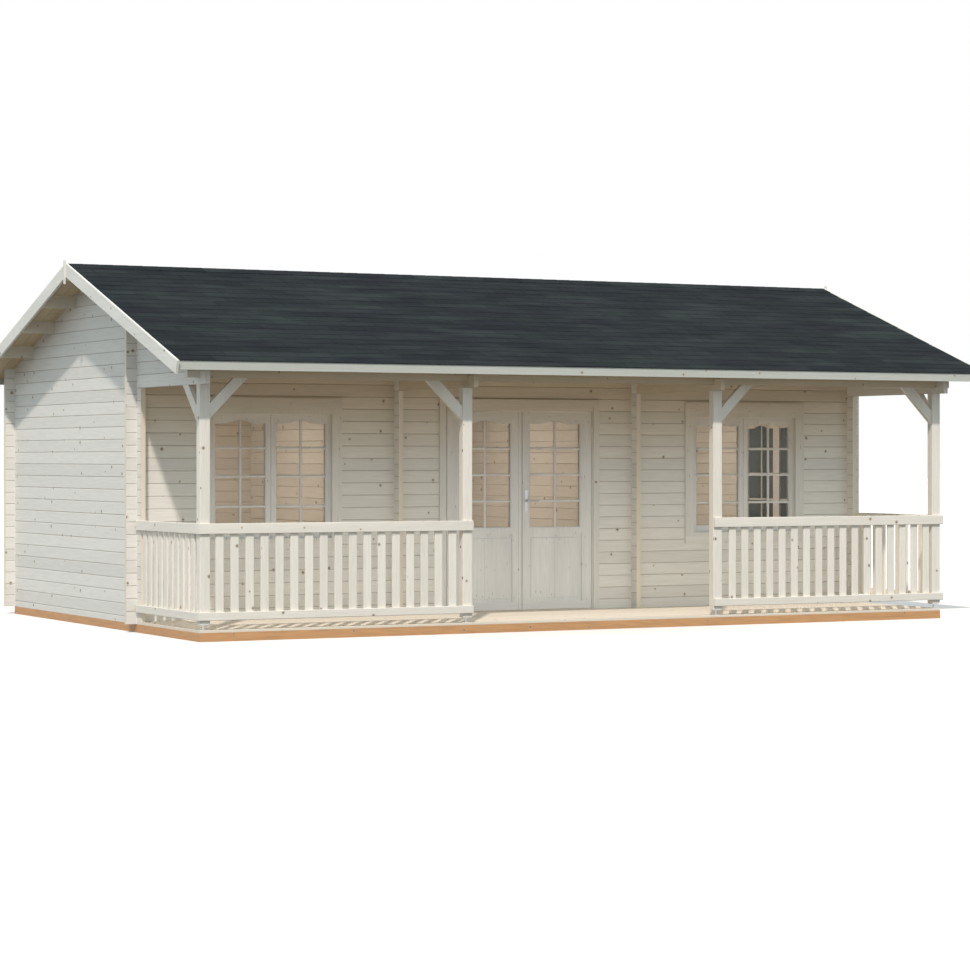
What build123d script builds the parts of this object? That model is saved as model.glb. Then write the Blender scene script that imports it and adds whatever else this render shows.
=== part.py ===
from build123d import *
import math
import os

# Log cabin with a full-width veranda, all under one gable roof.
# X runs along the front, the front faces -Y, Z is up, and the origin is on the ground below the ridge's middle.
# Lengths are in millimetres.

# Logs
log_thickness = 44
log_height = 114
log_end_length = 100
log_vee = 5

# Plan
cabin_length = 7720
front_wall_offset = 953
rear_wall_offset = 2530
deck_front_offset = 2456
partition_offset = 1287

# Ground frame, floor and deck
bearer_height = 74
bearer_width = 70
rear_bearer_inset = 33
floor_thickness = 22

# Roof
roof_pitch = 19.25
verge_overhang = 338
eave_run = 2739
roof_board_thickness = 19
shingle_thickness = 8
shingle_overhang = 26
ridge_cap_width = 260
ridge_cap_thickness = 8
fascia_height = 78
fascia_thickness = 18
barge_depth = 115
barge_thickness = 22
barge_joint = 2
apex_plate_width = 28
apex_plate_height = 216
apex_plate_thickness = 14
apex_plate_rise = 25

# Purlins
purlin_width = 58
purlin_height = 115
ridge_purlin_height = 130
rear_purlin_shares = (0.267, 0.511, 0.762)
front_purlin_share = 0.463
veranda_purlin_share = 0.475

# Veranda
header_courses = 18
beam_courses = 19
beam_height = 220
beam_thickness = 70
beam_setback = 5
beam_end_length = 110
header_end_length = 120
post_width = 95
post_depth = 80
post_chamfer = 5
middle_post_offset = 1310
post_foot_height = 50
foot_plate_length = 80
foot_plate_width = 60
foot_plate_thickness = 6
foot_rod_diameter = 20
brace_width = 90
brace_thickness = 44
front_brace_reach = 348
side_brace_reach = 310

# Railings
rail_thickness = 40
rail_top_height = 1003
top_rail_height = 90
bottom_rail_height = 70
bottom_rail_level = 179
rail_overlap = 75
baluster_width = 75
baluster_thickness = 20
front_baluster_count = 17
side_baluster_count = 10
baluster_drop = 14

# Double door
door_clear_width = 1580
door_offset = 28
door_jamb_thickness = 40
door_leaf_top = 2000
door_leaf_thickness = 40
door_recess = 12
door_side_gap = 6
door_middle_gap = 9
door_meeting_shift = 19
door_stile_width = 130
door_light_offset = 108
door_lock_rail_height = 70
door_bottom_rail_height = 74
door_top_rail_height = 86
door_glass_bottom = 897
door_panel_margin = 22
door_panel_recess = 12
door_panel_border = 34
door_panel_rise = 7
door_panel_bevel = 12
door_meeting_strip_width = 36
door_meeting_strip_thickness = 6
threshold_height = 26
threshold_nose = 20
hinge_radius = 8
hinge_flap_width = 14
hinge_flap_thickness = 3
hinge_length = 90
hinge_clearance = 0.3
hinge_shares = (0.1, 0.5, 0.9)
handle_level = 1148
handle_setback = 40
handle_plate_width = 34
handle_plate_height = 210
handle_plate_thickness = 5
handle_plate_radius = 8
lever_length = 120
lever_radius = 9
lever_stem = 45

# Windows
window_clear_width = 1200
window_bottom = 822
window_top = 1960
window_jamb_thickness = 40
left_window_offset = 2550
right_window_offset = 2575
side_window_offset = 330
casement_thickness = 36
casement_recess = 40
casement_gap = 4
casement_stile_width = 55
casement_bottom_rail_height = 71
casement_top_rail_height = 57

# Glazing shared by the door and the windows
glass_thickness = 6
crown_rise = 31
shoulder_share = 0.15
sash_bevel = 8

# Trim boards round the door and the windows
trim_thickness = 16
trim_width = 60
door_trim_width = 65
door_trim_cover = 28
head_trim_height = 108
door_head_trim_height = 70
sill_trim_height = 65

# Doorways through the partitions
doorway_width = 800
doorway_height = 1900
doorway_setback = 60

# How far every cutting shape runs past the face that it cuts
overrun = 10

# Places that follow from the sizes above
half_length = cabin_length / 2
roof_half_length = half_length + verge_overhang
wall_base = bearer_height
floor_level = bearer_height + floor_thickness
log_end_x = half_length + log_end_length
gable_inner_x = half_length - log_thickness
front_outer = -front_wall_offset
front_inner = front_outer + log_thickness
rear_outer = rear_wall_offset
rear_inner = rear_outer - log_thickness
log_end_front = front_outer - log_end_length
log_end_rear = rear_outer + log_end_length
deck_front = -deck_front_offset
post_back = deck_front + post_depth
post_middle = deck_front + post_depth / 2
beam_front = deck_front + beam_setback
beam_back = beam_front + beam_thickness
beam_end_x = half_length + beam_end_length
header_front = deck_front - header_end_length
header_bottom = wall_base + log_height * (header_courses + 1 / 2)
beam_bottom = wall_base + log_height * beam_courses
verge_x = roof_half_length - barge_thickness
tan_pitch = math.tan(math.radians(roof_pitch))
cos_pitch = math.cos(math.radians(roof_pitch))
sin_pitch = math.sin(math.radians(roof_pitch))
roof_depth = (roof_board_thickness + shingle_thickness) / cos_pitch
apex_height = beam_bottom + beam_height + roof_depth - beam_front * tan_pitch
front_faces = (front_outer, front_inner)
rear_faces = (rear_inner, rear_outer)
beam_faces = (beam_front, beam_back)
left_gable_faces = (-half_length, -gable_inner_x)
right_gable_faces = (gable_inner_x, half_length)
left_partition_faces = (-partition_offset - log_thickness / 2, -partition_offset + log_thickness / 2)
right_partition_faces = (partition_offset - log_thickness / 2, partition_offset + log_thickness / 2)
door_opening_half = door_clear_width / 2 + door_jamb_thickness
door_opening_top = door_leaf_top + door_side_gap + door_jamb_thickness
window_half_width = window_clear_width / 2
window_opening_half = window_half_width + window_jamb_thickness
window_opening_bottom = window_bottom - window_jamb_thickness
window_opening_top = window_top + window_jamb_thickness


# Shapes that the whole cabin uses

def block(x_range, y_range, z_range):
    """A box between two places on each axis."""
    low_corner = [low for low, high in (x_range, y_range, z_range)]
    size = [high - low for low, high in (x_range, y_range, z_range)]
    return Pos(*low_corner) * Box(*size, align=(Align.MIN, Align.MIN, Align.MIN))


def along_x(sketch, x_range):
    """A sketch drawn in Y and Z, carried along X."""
    half = (x_range[1] - x_range[0]) / 2
    return Pos(x_range[0] + half, 0, 0) * extrude(Plane.YZ * sketch, amount=half, both=True)


def along_y(sketch, y_range):
    """A sketch drawn in X and Z, carried along Y."""
    half = (y_range[1] - y_range[0]) / 2
    return Pos(0, y_range[0] + half, 0) * extrude(Plane.XZ * sketch, amount=half, both=True)


def polygon(points):
    """A flat face with straight edges."""
    return make_face(Polyline(*points, close=True))


def rectangles(spans):
    """A sketch of rectangles, each given by its span across and its span in height."""
    pieces = []
    for across, height in spans:
        middle = Pos(sum(across) / 2, sum(height) / 2)
        pieces.append(middle * Rectangle(across[1] - across[0], height[1] - height[0]))
    return Sketch() + pieces


def widened(span):
    """A span lengthened by the overrun at both ends."""
    return (span[0] - overrun, span[1] + overrun)


def mirrored(span):
    """A span on the other side of the middle."""
    return (-span[1], -span[0])


# Heights under the roof

def shingle_top(y):
    """Height of the roof's upper face."""
    return apex_height - abs(y) * tan_pitch


def board_top(y):
    """Height of the upper face of the roof boards."""
    return shingle_top(y) - shingle_thickness / cos_pitch


def board_under(y):
    """Height of the underside of the roof boards, which the walls reach."""
    return board_top(y) - roof_board_thickness / cos_pitch


# Log walls: long walls start with a whole log and cross walls with half a log, so that they lock at the corners

def joint_heights(first, low, high):
    """Heights of the log joints between two levels."""
    count = math.ceil((high - first) / log_height)
    joints = [first + index * log_height for index in range(count)]
    return [joint for joint in joints if low + log_vee < joint < high - log_vee]


def neck_spans(first_middle, low, high):
    """Spans in height of the necks that notched logs have where they cross, between two levels."""
    half_neck = log_height / 4
    count = math.ceil((high - first_middle) / log_height) + 1
    middles = [first_middle + index * log_height for index in range(count)]
    spans = [(middle - half_neck, middle + half_neck) for middle in middles]
    return [span for span in spans if span[1] > low and span[0] < high]


def log_section(faces, joints, bottom, tops):
    """Section of stacked logs between two faces, with a vee on both faces at every joint."""
    vee = log_vee
    left_side = [(faces[0], bottom)]
    right_side = [(faces[1], bottom)]
    for joint in joints:
        left_side += [(faces[0], joint - vee), (faces[0] + vee, joint), (faces[0], joint + vee)]
        right_side += [(faces[1], joint - vee), (faces[1] - vee, joint), (faces[1], joint + vee)]
    return polygon(left_side + [(faces[0], tops[0]), (faces[1], tops[1])] + right_side[::-1])


def long_wall(faces, x_range, bottom, holes):
    """Logs along X, cut to the roof's slope at the top, with notches and openings cut through."""
    tops = [board_under(face) for face in faces]
    joints = joint_heights(wall_base + log_height, bottom, min(tops))
    logs = along_x(log_section(faces, joints, bottom, tops), x_range)
    if holes:
        logs -= along_y(rectangles(holes), widened(faces))
    return logs


def cross_wall(faces, outline, holes):
    """Logs along Y inside an outline of (y, height) points, with notches and openings cut through."""
    lengths = [point[0] for point in outline]
    heights = [point[1] for point in outline]
    joints = joint_heights(wall_base + log_height / 2, min(heights), max(heights))
    section = log_section(faces, joints, min(heights), (max(heights), max(heights)))
    logs = along_y(section, (min(lengths), max(lengths)))
    shape = polygon(outline) - rectangles(holes)
    return logs & along_x(shape, widened(faces))


def cross_notches(faces, low, high):
    """Holes in a long wall for the necks of a cross wall."""
    return [(faces, span) for span in neck_spans(wall_base, low, high)]


def long_notches(faces, low, high):
    """Holes in a cross wall for the necks of a long wall."""
    return [(faces, span) for span in neck_spans(wall_base + log_height / 2, low, high)]


# Purlins

def purlin_span(place):
    """Span in Y of a purlin whose face nearer the ridge is at the given place."""
    if place < 0:
        return (place - purlin_width, place)
    return (place, place + purlin_width)


def purlin_bottom(place):
    """Height of the underside of a purlin."""
    return board_under(place) - purlin_height


rear_purlin_places = [rear_inner * share for share in rear_purlin_shares]
room_purlin_place = front_inner * front_purlin_share
veranda_purlin_place = front_outer + (beam_back - front_outer) * veranda_purlin_share
front_purlin_places = [room_purlin_place, veranda_purlin_place]
ridge_span = (-purlin_width / 2, purlin_width / 2)
ridge_bottom = board_under(0) - ridge_purlin_height


def purlin(place):
    """A purlin under the roof boards, its top cut to the slope."""
    low, high = purlin_span(place)
    bottom = purlin_bottom(place)
    outline = [(low, bottom), (high, bottom), (high, board_under(high)), (low, board_under(low))]
    return along_x(polygon(outline), (-verge_x, verge_x))


def ridge_purlin():
    """The purlin under the ridge, with a peaked top."""
    low, high = ridge_span
    outline = [(low, ridge_bottom), (high, ridge_bottom), (high, board_under(high))]
    outline += [(0, board_under(0)), (low, board_under(low))]
    return along_x(polygon(outline), (-verge_x, verge_x))


def purlin_notches(places):
    """Holes at the top of a cross wall where purlins pass."""
    return [(purlin_span(place), (purlin_bottom(place), apex_height)) for place in places]


# Walls

def front_walls():
    """The front wall's two sides and the stretch over the door."""
    top = board_under(front_inner)
    window_height = (window_opening_bottom, window_opening_top)
    left_window = (-left_window_offset - window_opening_half, window_opening_half - left_window_offset)
    right_window = (right_window_offset - window_opening_half, right_window_offset + window_opening_half)
    doorway = (door_offset - door_opening_half, door_offset + door_opening_half)
    right_holes = cross_notches(right_gable_faces, wall_base, top)
    right_holes += cross_notches(right_partition_faces, wall_base, top)
    left_holes = [(mirrored(across), height) for across, height in right_holes]
    left_holes.append((left_window, window_height))
    right_holes.append((right_window, window_height))
    left = long_wall(front_faces, (-log_end_x, doorway[0]), wall_base, left_holes)
    right = long_wall(front_faces, (doorway[1], log_end_x), wall_base, right_holes)
    over = long_wall(front_faces, doorway, door_opening_top, [])
    return left, right, over


def rear_wall():
    """The rear wall, crossed by both gable walls and both partitions."""
    holes = []
    for faces in (left_gable_faces, left_partition_faces, right_partition_faces, right_gable_faces):
        holes += cross_notches(faces, wall_base, board_under(rear_inner))
    return long_wall(rear_faces, (-log_end_x, log_end_x), wall_base, holes)


def cabin_cross_holes():
    """Notches that every cross wall of the cabin has for the long walls and the purlins."""
    holes = long_notches(front_faces, wall_base, board_under(front_inner))
    holes += long_notches(rear_faces, wall_base, board_under(rear_inner))
    holes += purlin_notches(rear_purlin_places + [room_purlin_place])
    holes.append((ridge_span, (ridge_bottom, apex_height)))
    return holes


def cabin_cross_outline():
    """Outline of a gable wall or a partition, log ends included."""
    ends = (log_end_front, log_end_rear)
    outline = [(ends[0], wall_base), (ends[1], wall_base), (ends[1], board_under(ends[1]))]
    return outline + [(0, board_under(0)), (ends[0], board_under(ends[0]))]


def gable_wall(faces, openings):
    """A gable wall of the cabin, up to the roof."""
    return cross_wall(faces, cabin_cross_outline(), cabin_cross_holes() + openings)


def partition(faces):
    """A cross wall inside the cabin, with a doorway next to the front wall."""
    doorway_start = front_inner + doorway_setback
    doorway = ((doorway_start, doorway_start + doorway_width), (floor_level, floor_level + doorway_height))
    return cross_wall(faces, cabin_cross_outline(), cabin_cross_holes() + [doorway])


def veranda_header(faces):
    """The upper logs of a cross wall, carried forward over the veranda to a post."""
    ends = (header_front, log_end_front)
    outline = [(ends[0], header_bottom), (ends[1], header_bottom)]
    outline += [(ends[1], board_under(ends[1])), (ends[0], board_under(ends[0]))]
    holes = long_notches(beam_faces, beam_bottom + log_height / 4, board_under(beam_back))
    return cross_wall(faces, outline, holes + purlin_notches([veranda_purlin_place]))


def front_beam():
    """The log beam over the posts, locked with all four headers."""
    holes = []
    for faces in (left_gable_faces, left_partition_faces, right_partition_faces, right_gable_faces):
        holes += cross_notches(faces, header_bottom, board_under(beam_back))
    return long_wall(beam_faces, (-beam_end_x, beam_end_x), beam_bottom, holes)


# Ground frame, floor and deck

def cabin_bearers():
    """The frame of bearers under the cabin's walls and partitions."""
    height = (0, bearer_height)
    side_x = half_length
    rear_y = rear_outer - rear_bearer_inset
    front_y = front_outer - (bearer_width - log_thickness) / 2
    frame = block((-side_x, side_x), (front_y, front_y + bearer_width), height)
    frame += block((-side_x, side_x), (rear_y - bearer_width, rear_y), height)
    for middle in (-partition_offset, partition_offset):
        span = (middle - bearer_width / 2, middle + bearer_width / 2)
        frame += block(span, (front_y, rear_y), height)
    for span in ((side_x - bearer_width, side_x), (-side_x, bearer_width - side_x)):
        frame += block(span, (front_y, rear_y), height)
    return frame


def veranda_bearers():
    """The front bearer and the joists that carry the deck."""
    height = (0, bearer_height)
    side_x = half_length
    back_y = front_outer - (bearer_width - log_thickness) / 2
    frame = block((-side_x, side_x), (deck_front, deck_front + bearer_width), height)
    for middle in (-middle_post_offset, middle_post_offset):
        span = (middle - bearer_width / 2, middle + bearer_width / 2)
        frame += block(span, (deck_front, back_y), height)
    for span in ((side_x - bearer_width, side_x), (-side_x, bearer_width - side_x)):
        frame += block(span, (deck_front, back_y), height)
    return frame


def cabin_floor():
    """Floor boards in the three rooms."""
    depth = (front_inner, rear_inner)
    level = (bearer_height, floor_level)
    rooms = [block((-gable_inner_x, left_partition_faces[0]), depth, level)]
    rooms.append(block((left_partition_faces[1], right_partition_faces[0]), depth, level))
    rooms.append(block((right_partition_faces[1], gable_inner_x), depth, level))
    return Compound(children=rooms)


def veranda_deck():
    """The deck's boards, cut round the log ends of the cross walls."""
    level = (bearer_height, floor_level)
    deck = block((-half_length, half_length), (deck_front, front_outer), level)
    ends_depth = (log_end_front, front_outer + overrun)
    left_outside = (-half_length - overrun, -gable_inner_x)
    for faces in (left_outside, left_partition_faces, right_partition_faces, mirrored(left_outside)):
        deck -= block(faces, ends_depth, widened(level))
    return deck


# Roof

def roof_slab(side, low, high, eave, x_end):
    """One slope's flat layer between two height functions; side is -1 for the front and 1 for the rear."""
    edge = side * eave
    outline = [(0, low(0)), (edge, low(edge)), (edge, high(edge)), (0, high(0))]
    return along_x(polygon(outline), (-x_end, x_end))


def ridge_cap():
    """The folded strip over the ridge."""
    edge = ridge_cap_width / 2
    rise = ridge_cap_thickness / cos_pitch
    outline = [(-edge, shingle_top(edge)), (0, shingle_top(0)), (edge, shingle_top(edge))]
    outline += [(edge, shingle_top(edge) + rise), (0, shingle_top(0) + rise), (-edge, shingle_top(edge) + rise)]
    return along_x(polygon(outline), (-verge_x, verge_x))


def fascia(side):
    """The board along an eave."""
    near = side * eave_run
    far = side * (eave_run + fascia_thickness)
    top = board_top(far)
    return block((-verge_x, verge_x), (min(near, far), max(near, far)), (top - fascia_height, top))


def barge_board(side, end):
    """A sloping board at a verge, its lower end cut square; side is the slope and end is -1 left or 1 right."""
    start = barge_joint / 2
    heel = eave_run + fascia_thickness
    tip = heel + barge_depth * sin_pitch
    drop = barge_depth / cos_pitch
    upper = [(side * start, shingle_top(start)), (side * tip, shingle_top(tip))]
    lower = [(side * heel, shingle_top(heel) - drop), (side * start, shingle_top(start) - drop)]
    board_x = sorted((end * verge_x, end * roof_half_length))
    return along_x(polygon(upper + lower), board_x)


def apex_plate(end):
    """The small upright board over the joint of the barge boards."""
    top = apex_height + apex_plate_rise
    near = end * roof_half_length
    far = end * (roof_half_length + apex_plate_thickness)
    width = (-apex_plate_width / 2, apex_plate_width / 2)
    return block(sorted((near, far)), width, (top - apex_plate_height, top))


# Veranda posts, braces and railings

corner_post_middle = half_length - post_width / 2


def post(middle, top):
    """A square post with chamfered edges, standing on its foot."""
    across = (middle - post_width / 2, middle + post_width / 2)
    body = block(across, (deck_front, post_back), (floor_level + post_foot_height, top))
    return chamfer(body.edges().filter_by(Axis.Z), post_chamfer)


def corner_post(end):
    """A corner post, cut to seat under the header and beside it under the beam."""
    outside = sorted((end * gable_inner_x, end * (half_length + overrun)))
    body = post(end * corner_post_middle, beam_bottom)
    depth = widened((deck_front, post_back))
    return body - block(outside, depth, (header_bottom, beam_bottom + overrun))


def post_foot(middle):
    """An adjustable foot: two plates and the rod between them."""
    place = Pos(middle, post_middle, floor_level)
    up = (Align.CENTER, Align.CENTER, Align.MIN)
    plate = Box(foot_plate_length, foot_plate_width, foot_plate_thickness, align=up)
    rod = Cylinder(foot_rod_diameter / 2, post_foot_height, align=up)
    upper = Pos(0, 0, post_foot_height - foot_plate_thickness) * plate
    return place * (plate + rod + upper)


def brace_outline(corner, direction, level, reach):
    """A 45 degree brace from an upright face to an underside, both ends cut flush."""
    inner = reach - brace_width * math.sqrt(2)
    lower = [(corner, level - reach), (corner + direction * reach, level)]
    upper = [(corner + direction * inner, level), (corner, level - inner)]
    return polygon(lower + upper)


def knee_braces():
    """Braces from the posts to the front beam and to the headers."""
    depth = (post_middle - brace_thickness / 2, post_middle + brace_thickness / 2)
    corner_face = half_length - post_width
    middle_face = middle_post_offset + post_width / 2
    braces = []
    for corner, direction in ((-corner_face, 1), (-middle_face, -1), (middle_face, 1), (corner_face, -1)):
        outline = brace_outline(corner, direction, beam_bottom, front_brace_reach)
        braces.append(along_y(outline, depth))
    for faces in (left_gable_faces, right_gable_faces):
        outline = brace_outline(post_back, 1, header_bottom, side_brace_reach)
        braces.append(along_x(outline, faces))
    return Compound(children=braces)


def baluster_spans(start, stop, count):
    """Spans of the balusters that divide a clear width evenly."""
    clear = stop - start
    gap = (clear - count * baluster_width) / (count + 1)
    places = [start + gap + index * (baluster_width + gap) for index in range(count)]
    return [(place, place + baluster_width) for place in places]


top_rail = (rail_top_height - top_rail_height, rail_top_height)
bottom_rail = (bottom_rail_level, bottom_rail_level + bottom_rail_height)
baluster_height = (bottom_rail_level + baluster_drop, rail_top_height - baluster_drop)


def front_railing(end):
    """The railing between a corner post and a middle post; end is -1 left or 1 right."""
    rail_depth = (deck_front - rail_thickness, deck_front)
    outer = half_length + rail_thickness
    inner = middle_post_offset - post_width / 2
    across = sorted((end * outer, end * inner))
    panel = block(across, rail_depth, top_rail) + block(across, rail_depth, bottom_rail)
    spans = baluster_spans(inner + post_width, half_length - post_width, front_baluster_count)
    for span in spans:
        place = sorted((end * span[0], end * span[1]))
        panel += block(place, (deck_front, deck_front + baluster_thickness), baluster_height)
    return panel


def side_railing(end):
    """The railing between a corner post and the cabin's log ends; end is -1 left or 1 right."""
    rail_across = sorted((end * half_length, end * (half_length + rail_thickness)))
    baluster_across = sorted((end * half_length, end * (half_length - baluster_thickness)))
    depth = (deck_front, log_end_front + rail_overlap)
    panel = block(rail_across, depth, top_rail) + block(rail_across, depth, bottom_rail)
    for span in baluster_spans(post_back, log_end_front, side_baluster_count):
        panel += block(baluster_across, span, baluster_height)
    return panel


# Scalloped glazing

def light_outline(width, bottom, shoulder):
    """A pane's outline: straight sides and a head that rises in two ogee curves to its middle."""
    half = width / 2
    start = half - width * shoulder_share
    crown = shoulder + crown_rise
    turn = (start / 2, shoulder + crown_rise / 2)
    rise = TangentArc((start, shoulder), turn, tangent=(-1, 0))
    crest = TangentArc(turn, (0, crown), tangent=rise % 1)
    right = Polyline((0, bottom), (half, bottom), (half, shoulder), (start, shoulder))
    right_side = Curve() + [right, rise, crest]
    left_side = mirror(right_side, about=Plane.YZ)
    return make_face(right_side.edges() + left_side.edges())


def pane_frame(outer, light, thickness):
    """A flat frame round one pane, in X and Z, with the pane's edge bevelled on the outside."""
    half = thickness / 2
    frame = along_y(outer - light, (-half, half))
    bevel_edge = offset(light, amount=sash_bevel)
    bevel = along_y(bevel_edge, (-half - overrun, sash_bevel - half))
    return frame - bevel


# Windows, made in X and Z with the outside towards -Y, and the wall's middle plane at Y zero

def ring(outer_spans, inner_spans, y_range):
    """A rectangular ring of boards between two places in Y."""
    return along_y(rectangles([outer_spans]) - rectangles([inner_spans]), y_range)


def window_frame():
    """Jambs through the wall with trim boards on both faces."""
    half_wall = log_thickness / 2
    clear = ((-window_half_width, window_half_width), (window_bottom, window_top))
    hole_across = (-window_opening_half, window_opening_half)
    hole = (hole_across, (window_opening_bottom, window_opening_top))
    trim_half = window_opening_half + trim_width
    trim_height = (window_opening_bottom - sill_trim_height, window_opening_top + head_trim_height)
    trim = ((-trim_half, trim_half), trim_height)
    frame = ring(hole, clear, (-half_wall - trim_thickness, half_wall + trim_thickness))
    frame += ring(trim, clear, (-half_wall - trim_thickness, -half_wall))
    return frame + ring(trim, clear, (half_wall, half_wall + trim_thickness))


casement_width = window_half_width - casement_gap / 2
casement_light_width = casement_width - casement_stile_width * 2
casement_middle = casement_gap / 2 + casement_width / 2
casement_plane = casement_recess - trim_thickness - log_thickness / 2 + casement_thickness / 2


def casement_light():
    """The outline of the pane in one casement."""
    bottom = window_bottom + casement_bottom_rail_height
    shoulder = window_top - casement_top_rail_height - crown_rise
    return light_outline(casement_light_width, bottom, shoulder)


def casements():
    """A window's two casements."""
    outer = rectangles([((-casement_width / 2, casement_width / 2), (window_bottom, window_top))])
    leaf = pane_frame(outer, casement_light(), casement_thickness)
    return [Pos(side * casement_middle, casement_plane, 0) * leaf for side in (-1, 1)]


def casement_glass():
    """The panes of a window's two casements."""
    half = glass_thickness / 2
    pane = along_y(casement_light(), (-half, half))
    return [Pos(side * casement_middle, casement_plane, 0) * pane for side in (-1, 1)]


front_wall_middle = (front_outer + front_inner) / 2
gable_middle = (half_length + gable_inner_x) / 2
window_places = [
    Pos(-left_window_offset, front_wall_middle, 0),
    Pos(right_window_offset, front_wall_middle, 0),
    Pos(gable_middle, side_window_offset, 0) * Rot(0, 0, 90),
]


# Double door, made round the door's own middle; the left side is a mirror image of the right

leaf_bottom = bearer_height + threshold_height + door_side_gap
leaf_front = front_outer - trim_thickness + door_recess
leaf_back = leaf_front + door_leaf_thickness
leaf_plane = (leaf_front + leaf_back) / 2
leaf_outer_x = door_clear_width / 2 - door_side_gap
right_leaf_inner_x = door_middle_gap / 2 + door_meeting_shift
left_leaf_inner_x = door_middle_gap / 2 - door_meeting_shift
leaf_height = door_leaf_top - leaf_bottom
hinge_x = (door_clear_width / 2 + leaf_outer_x) / 2
hinge_y = leaf_front - hinge_radius
hinge_levels = [leaf_bottom + leaf_height * share for share in hinge_shares]
door_place = Pos(door_offset, 0, 0)
light_inner_x = door_light_offset
light_outer_x = leaf_outer_x - door_stile_width


def door_light():
    """The outline of the glass in the leaf."""
    shoulder = door_leaf_top - door_top_rail_height - crown_rise
    outline = light_outline(light_outer_x - light_inner_x, door_glass_bottom, shoulder)
    return Pos((light_inner_x + light_outer_x) / 2, 0) * outline


def hinge_half(level, side):
    """Half of a hinge barrel with its flap; side is 1 on the leaf, above, and -1 on the jamb, below."""
    length = (hinge_length - hinge_clearance) / 2
    base = level + hinge_clearance / 2 if side > 0 else level - hinge_clearance / 2 - length
    up = (Align.CENTER, Align.CENTER, Align.MIN)
    barrel = Pos(hinge_x, hinge_y, base) * Cylinder(hinge_radius, length, align=up)
    flap_across = sorted((hinge_x, hinge_x - side * hinge_flap_width))
    flap = block(flap_across, (leaf_front - hinge_flap_thickness, leaf_front), (base, base + length))
    return barrel + flap


def door_leaf(inner_x):
    """A leaf with a scalloped pane over a raised panel, and its halves of the hinges."""
    half = door_leaf_thickness / 2
    outer = rectangles([((inner_x, leaf_outer_x), (leaf_bottom, door_leaf_top))])
    leaf = pane_frame(outer, door_light(), door_leaf_thickness)
    panel_height = (leaf_bottom + door_bottom_rail_height, door_glass_bottom - door_lock_rail_height)
    panel_across = (light_inner_x - door_panel_margin, light_outer_x + door_panel_margin)
    recess = rectangles([(panel_across, panel_height)])
    border = door_panel_border
    field_across = (panel_across[0] + border, panel_across[1] - border)
    field = rectangles([(field_across, (panel_height[0] + border, panel_height[1] - border))])
    for face in (-1, 1):
        outside = face * (half + overrun)
        floor = face * (half - door_panel_recess)
        leaf -= along_y(recess, sorted((floor, outside)))
        raised = extrude(Plane.XZ * field, amount=-face * door_panel_rise, taper=door_panel_bevel)
        leaf += Pos(0, floor, 0) * raised
    return Pos(0, leaf_plane, 0) * leaf + [hinge_half(level, 1) for level in hinge_levels]


def door_glass():
    """The pane of a leaf."""
    half = glass_thickness / 2
    return along_y(door_light(), (leaf_plane - half, leaf_plane + half))


def meeting_strip():
    """The moulded strip along the left leaf's meeting edge."""
    edge = -left_leaf_inner_x
    across = (edge - door_meeting_strip_width, edge)
    depth = (leaf_front - door_meeting_strip_thickness, leaf_front)
    strip = block(across, depth, (leaf_bottom, door_leaf_top))
    front_edges = strip.edges().filter_by(Axis.Z).group_by(Axis.Y)[0]
    return chamfer(front_edges, door_meeting_strip_thickness / 2)


def door_jamb():
    """A jamb with trim boards on both wall faces and its halves of the hinges."""
    across = (door_clear_width / 2, door_opening_half)
    inner_face = front_inner + trim_thickness
    jamb = block(across, (front_outer, front_inner), (bearer_height, door_opening_top))
    jamb += block(across, (leaf_front, inner_face), (floor_level, door_opening_top))
    trim_inner = door_opening_half - door_trim_cover
    trim_across = (trim_inner, trim_inner + door_trim_width)
    trim_height = (floor_level, door_opening_top)
    jamb += block(trim_across, (front_outer - trim_thickness, front_outer), trim_height)
    jamb += block(trim_across, (front_inner, inner_face), trim_height)
    return jamb + [hinge_half(level, -1) for level in hinge_levels]


def door_head():
    """The head of the door frame between the jambs, with its trim boards."""
    clear = door_clear_width / 2
    trim_half = door_opening_half - door_trim_cover + door_trim_width
    outer_face = front_outer - trim_thickness
    inner_face = front_inner + trim_thickness
    trim_height = (door_opening_top, door_opening_top + door_head_trim_height)
    head = block((-clear, clear), (outer_face, inner_face), (door_leaf_top + door_side_gap, door_opening_top))
    head += block((-trim_half, trim_half), (outer_face, front_outer), trim_height)
    return head + block((-trim_half, trim_half), (front_inner, inner_face), trim_height)


def door_threshold():
    """The sill across the doorway, with a nose over the deck."""
    clear = door_clear_width / 2
    top = bearer_height + threshold_height
    sill = block((-clear, clear), (front_outer, front_inner), (bearer_height, top))
    return sill + block((-clear, clear), (front_outer - threshold_nose, front_outer), (floor_level, top))


def door_handle():
    """Plates on both faces of the right leaf, with a lever on each."""
    middle = right_leaf_inner_x + handle_setback
    place = Pos(middle, handle_level)
    plate = place * RectangleRounded(handle_plate_width, handle_plate_height, handle_plate_radius)
    stem = place * Circle(lever_radius)
    handle = []
    for face, surface in ((-1, leaf_front), (1, leaf_back)):
        plate_end = surface + face * handle_plate_thickness
        stem_end = surface + face * lever_stem
        bar = Pos(middle - lever_radius, stem_end, handle_level) * Rot(0, 90, 0)
        lever = bar * Cylinder(lever_radius, lever_length, align=(Align.CENTER, Align.CENTER, Align.MIN))
        side = along_y(plate, sorted((surface, plate_end))) + along_y(stem, sorted((surface, stem_end)))
        handle.append(side + lever)
    return Compound(children=handle)


# All pieces by name

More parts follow.
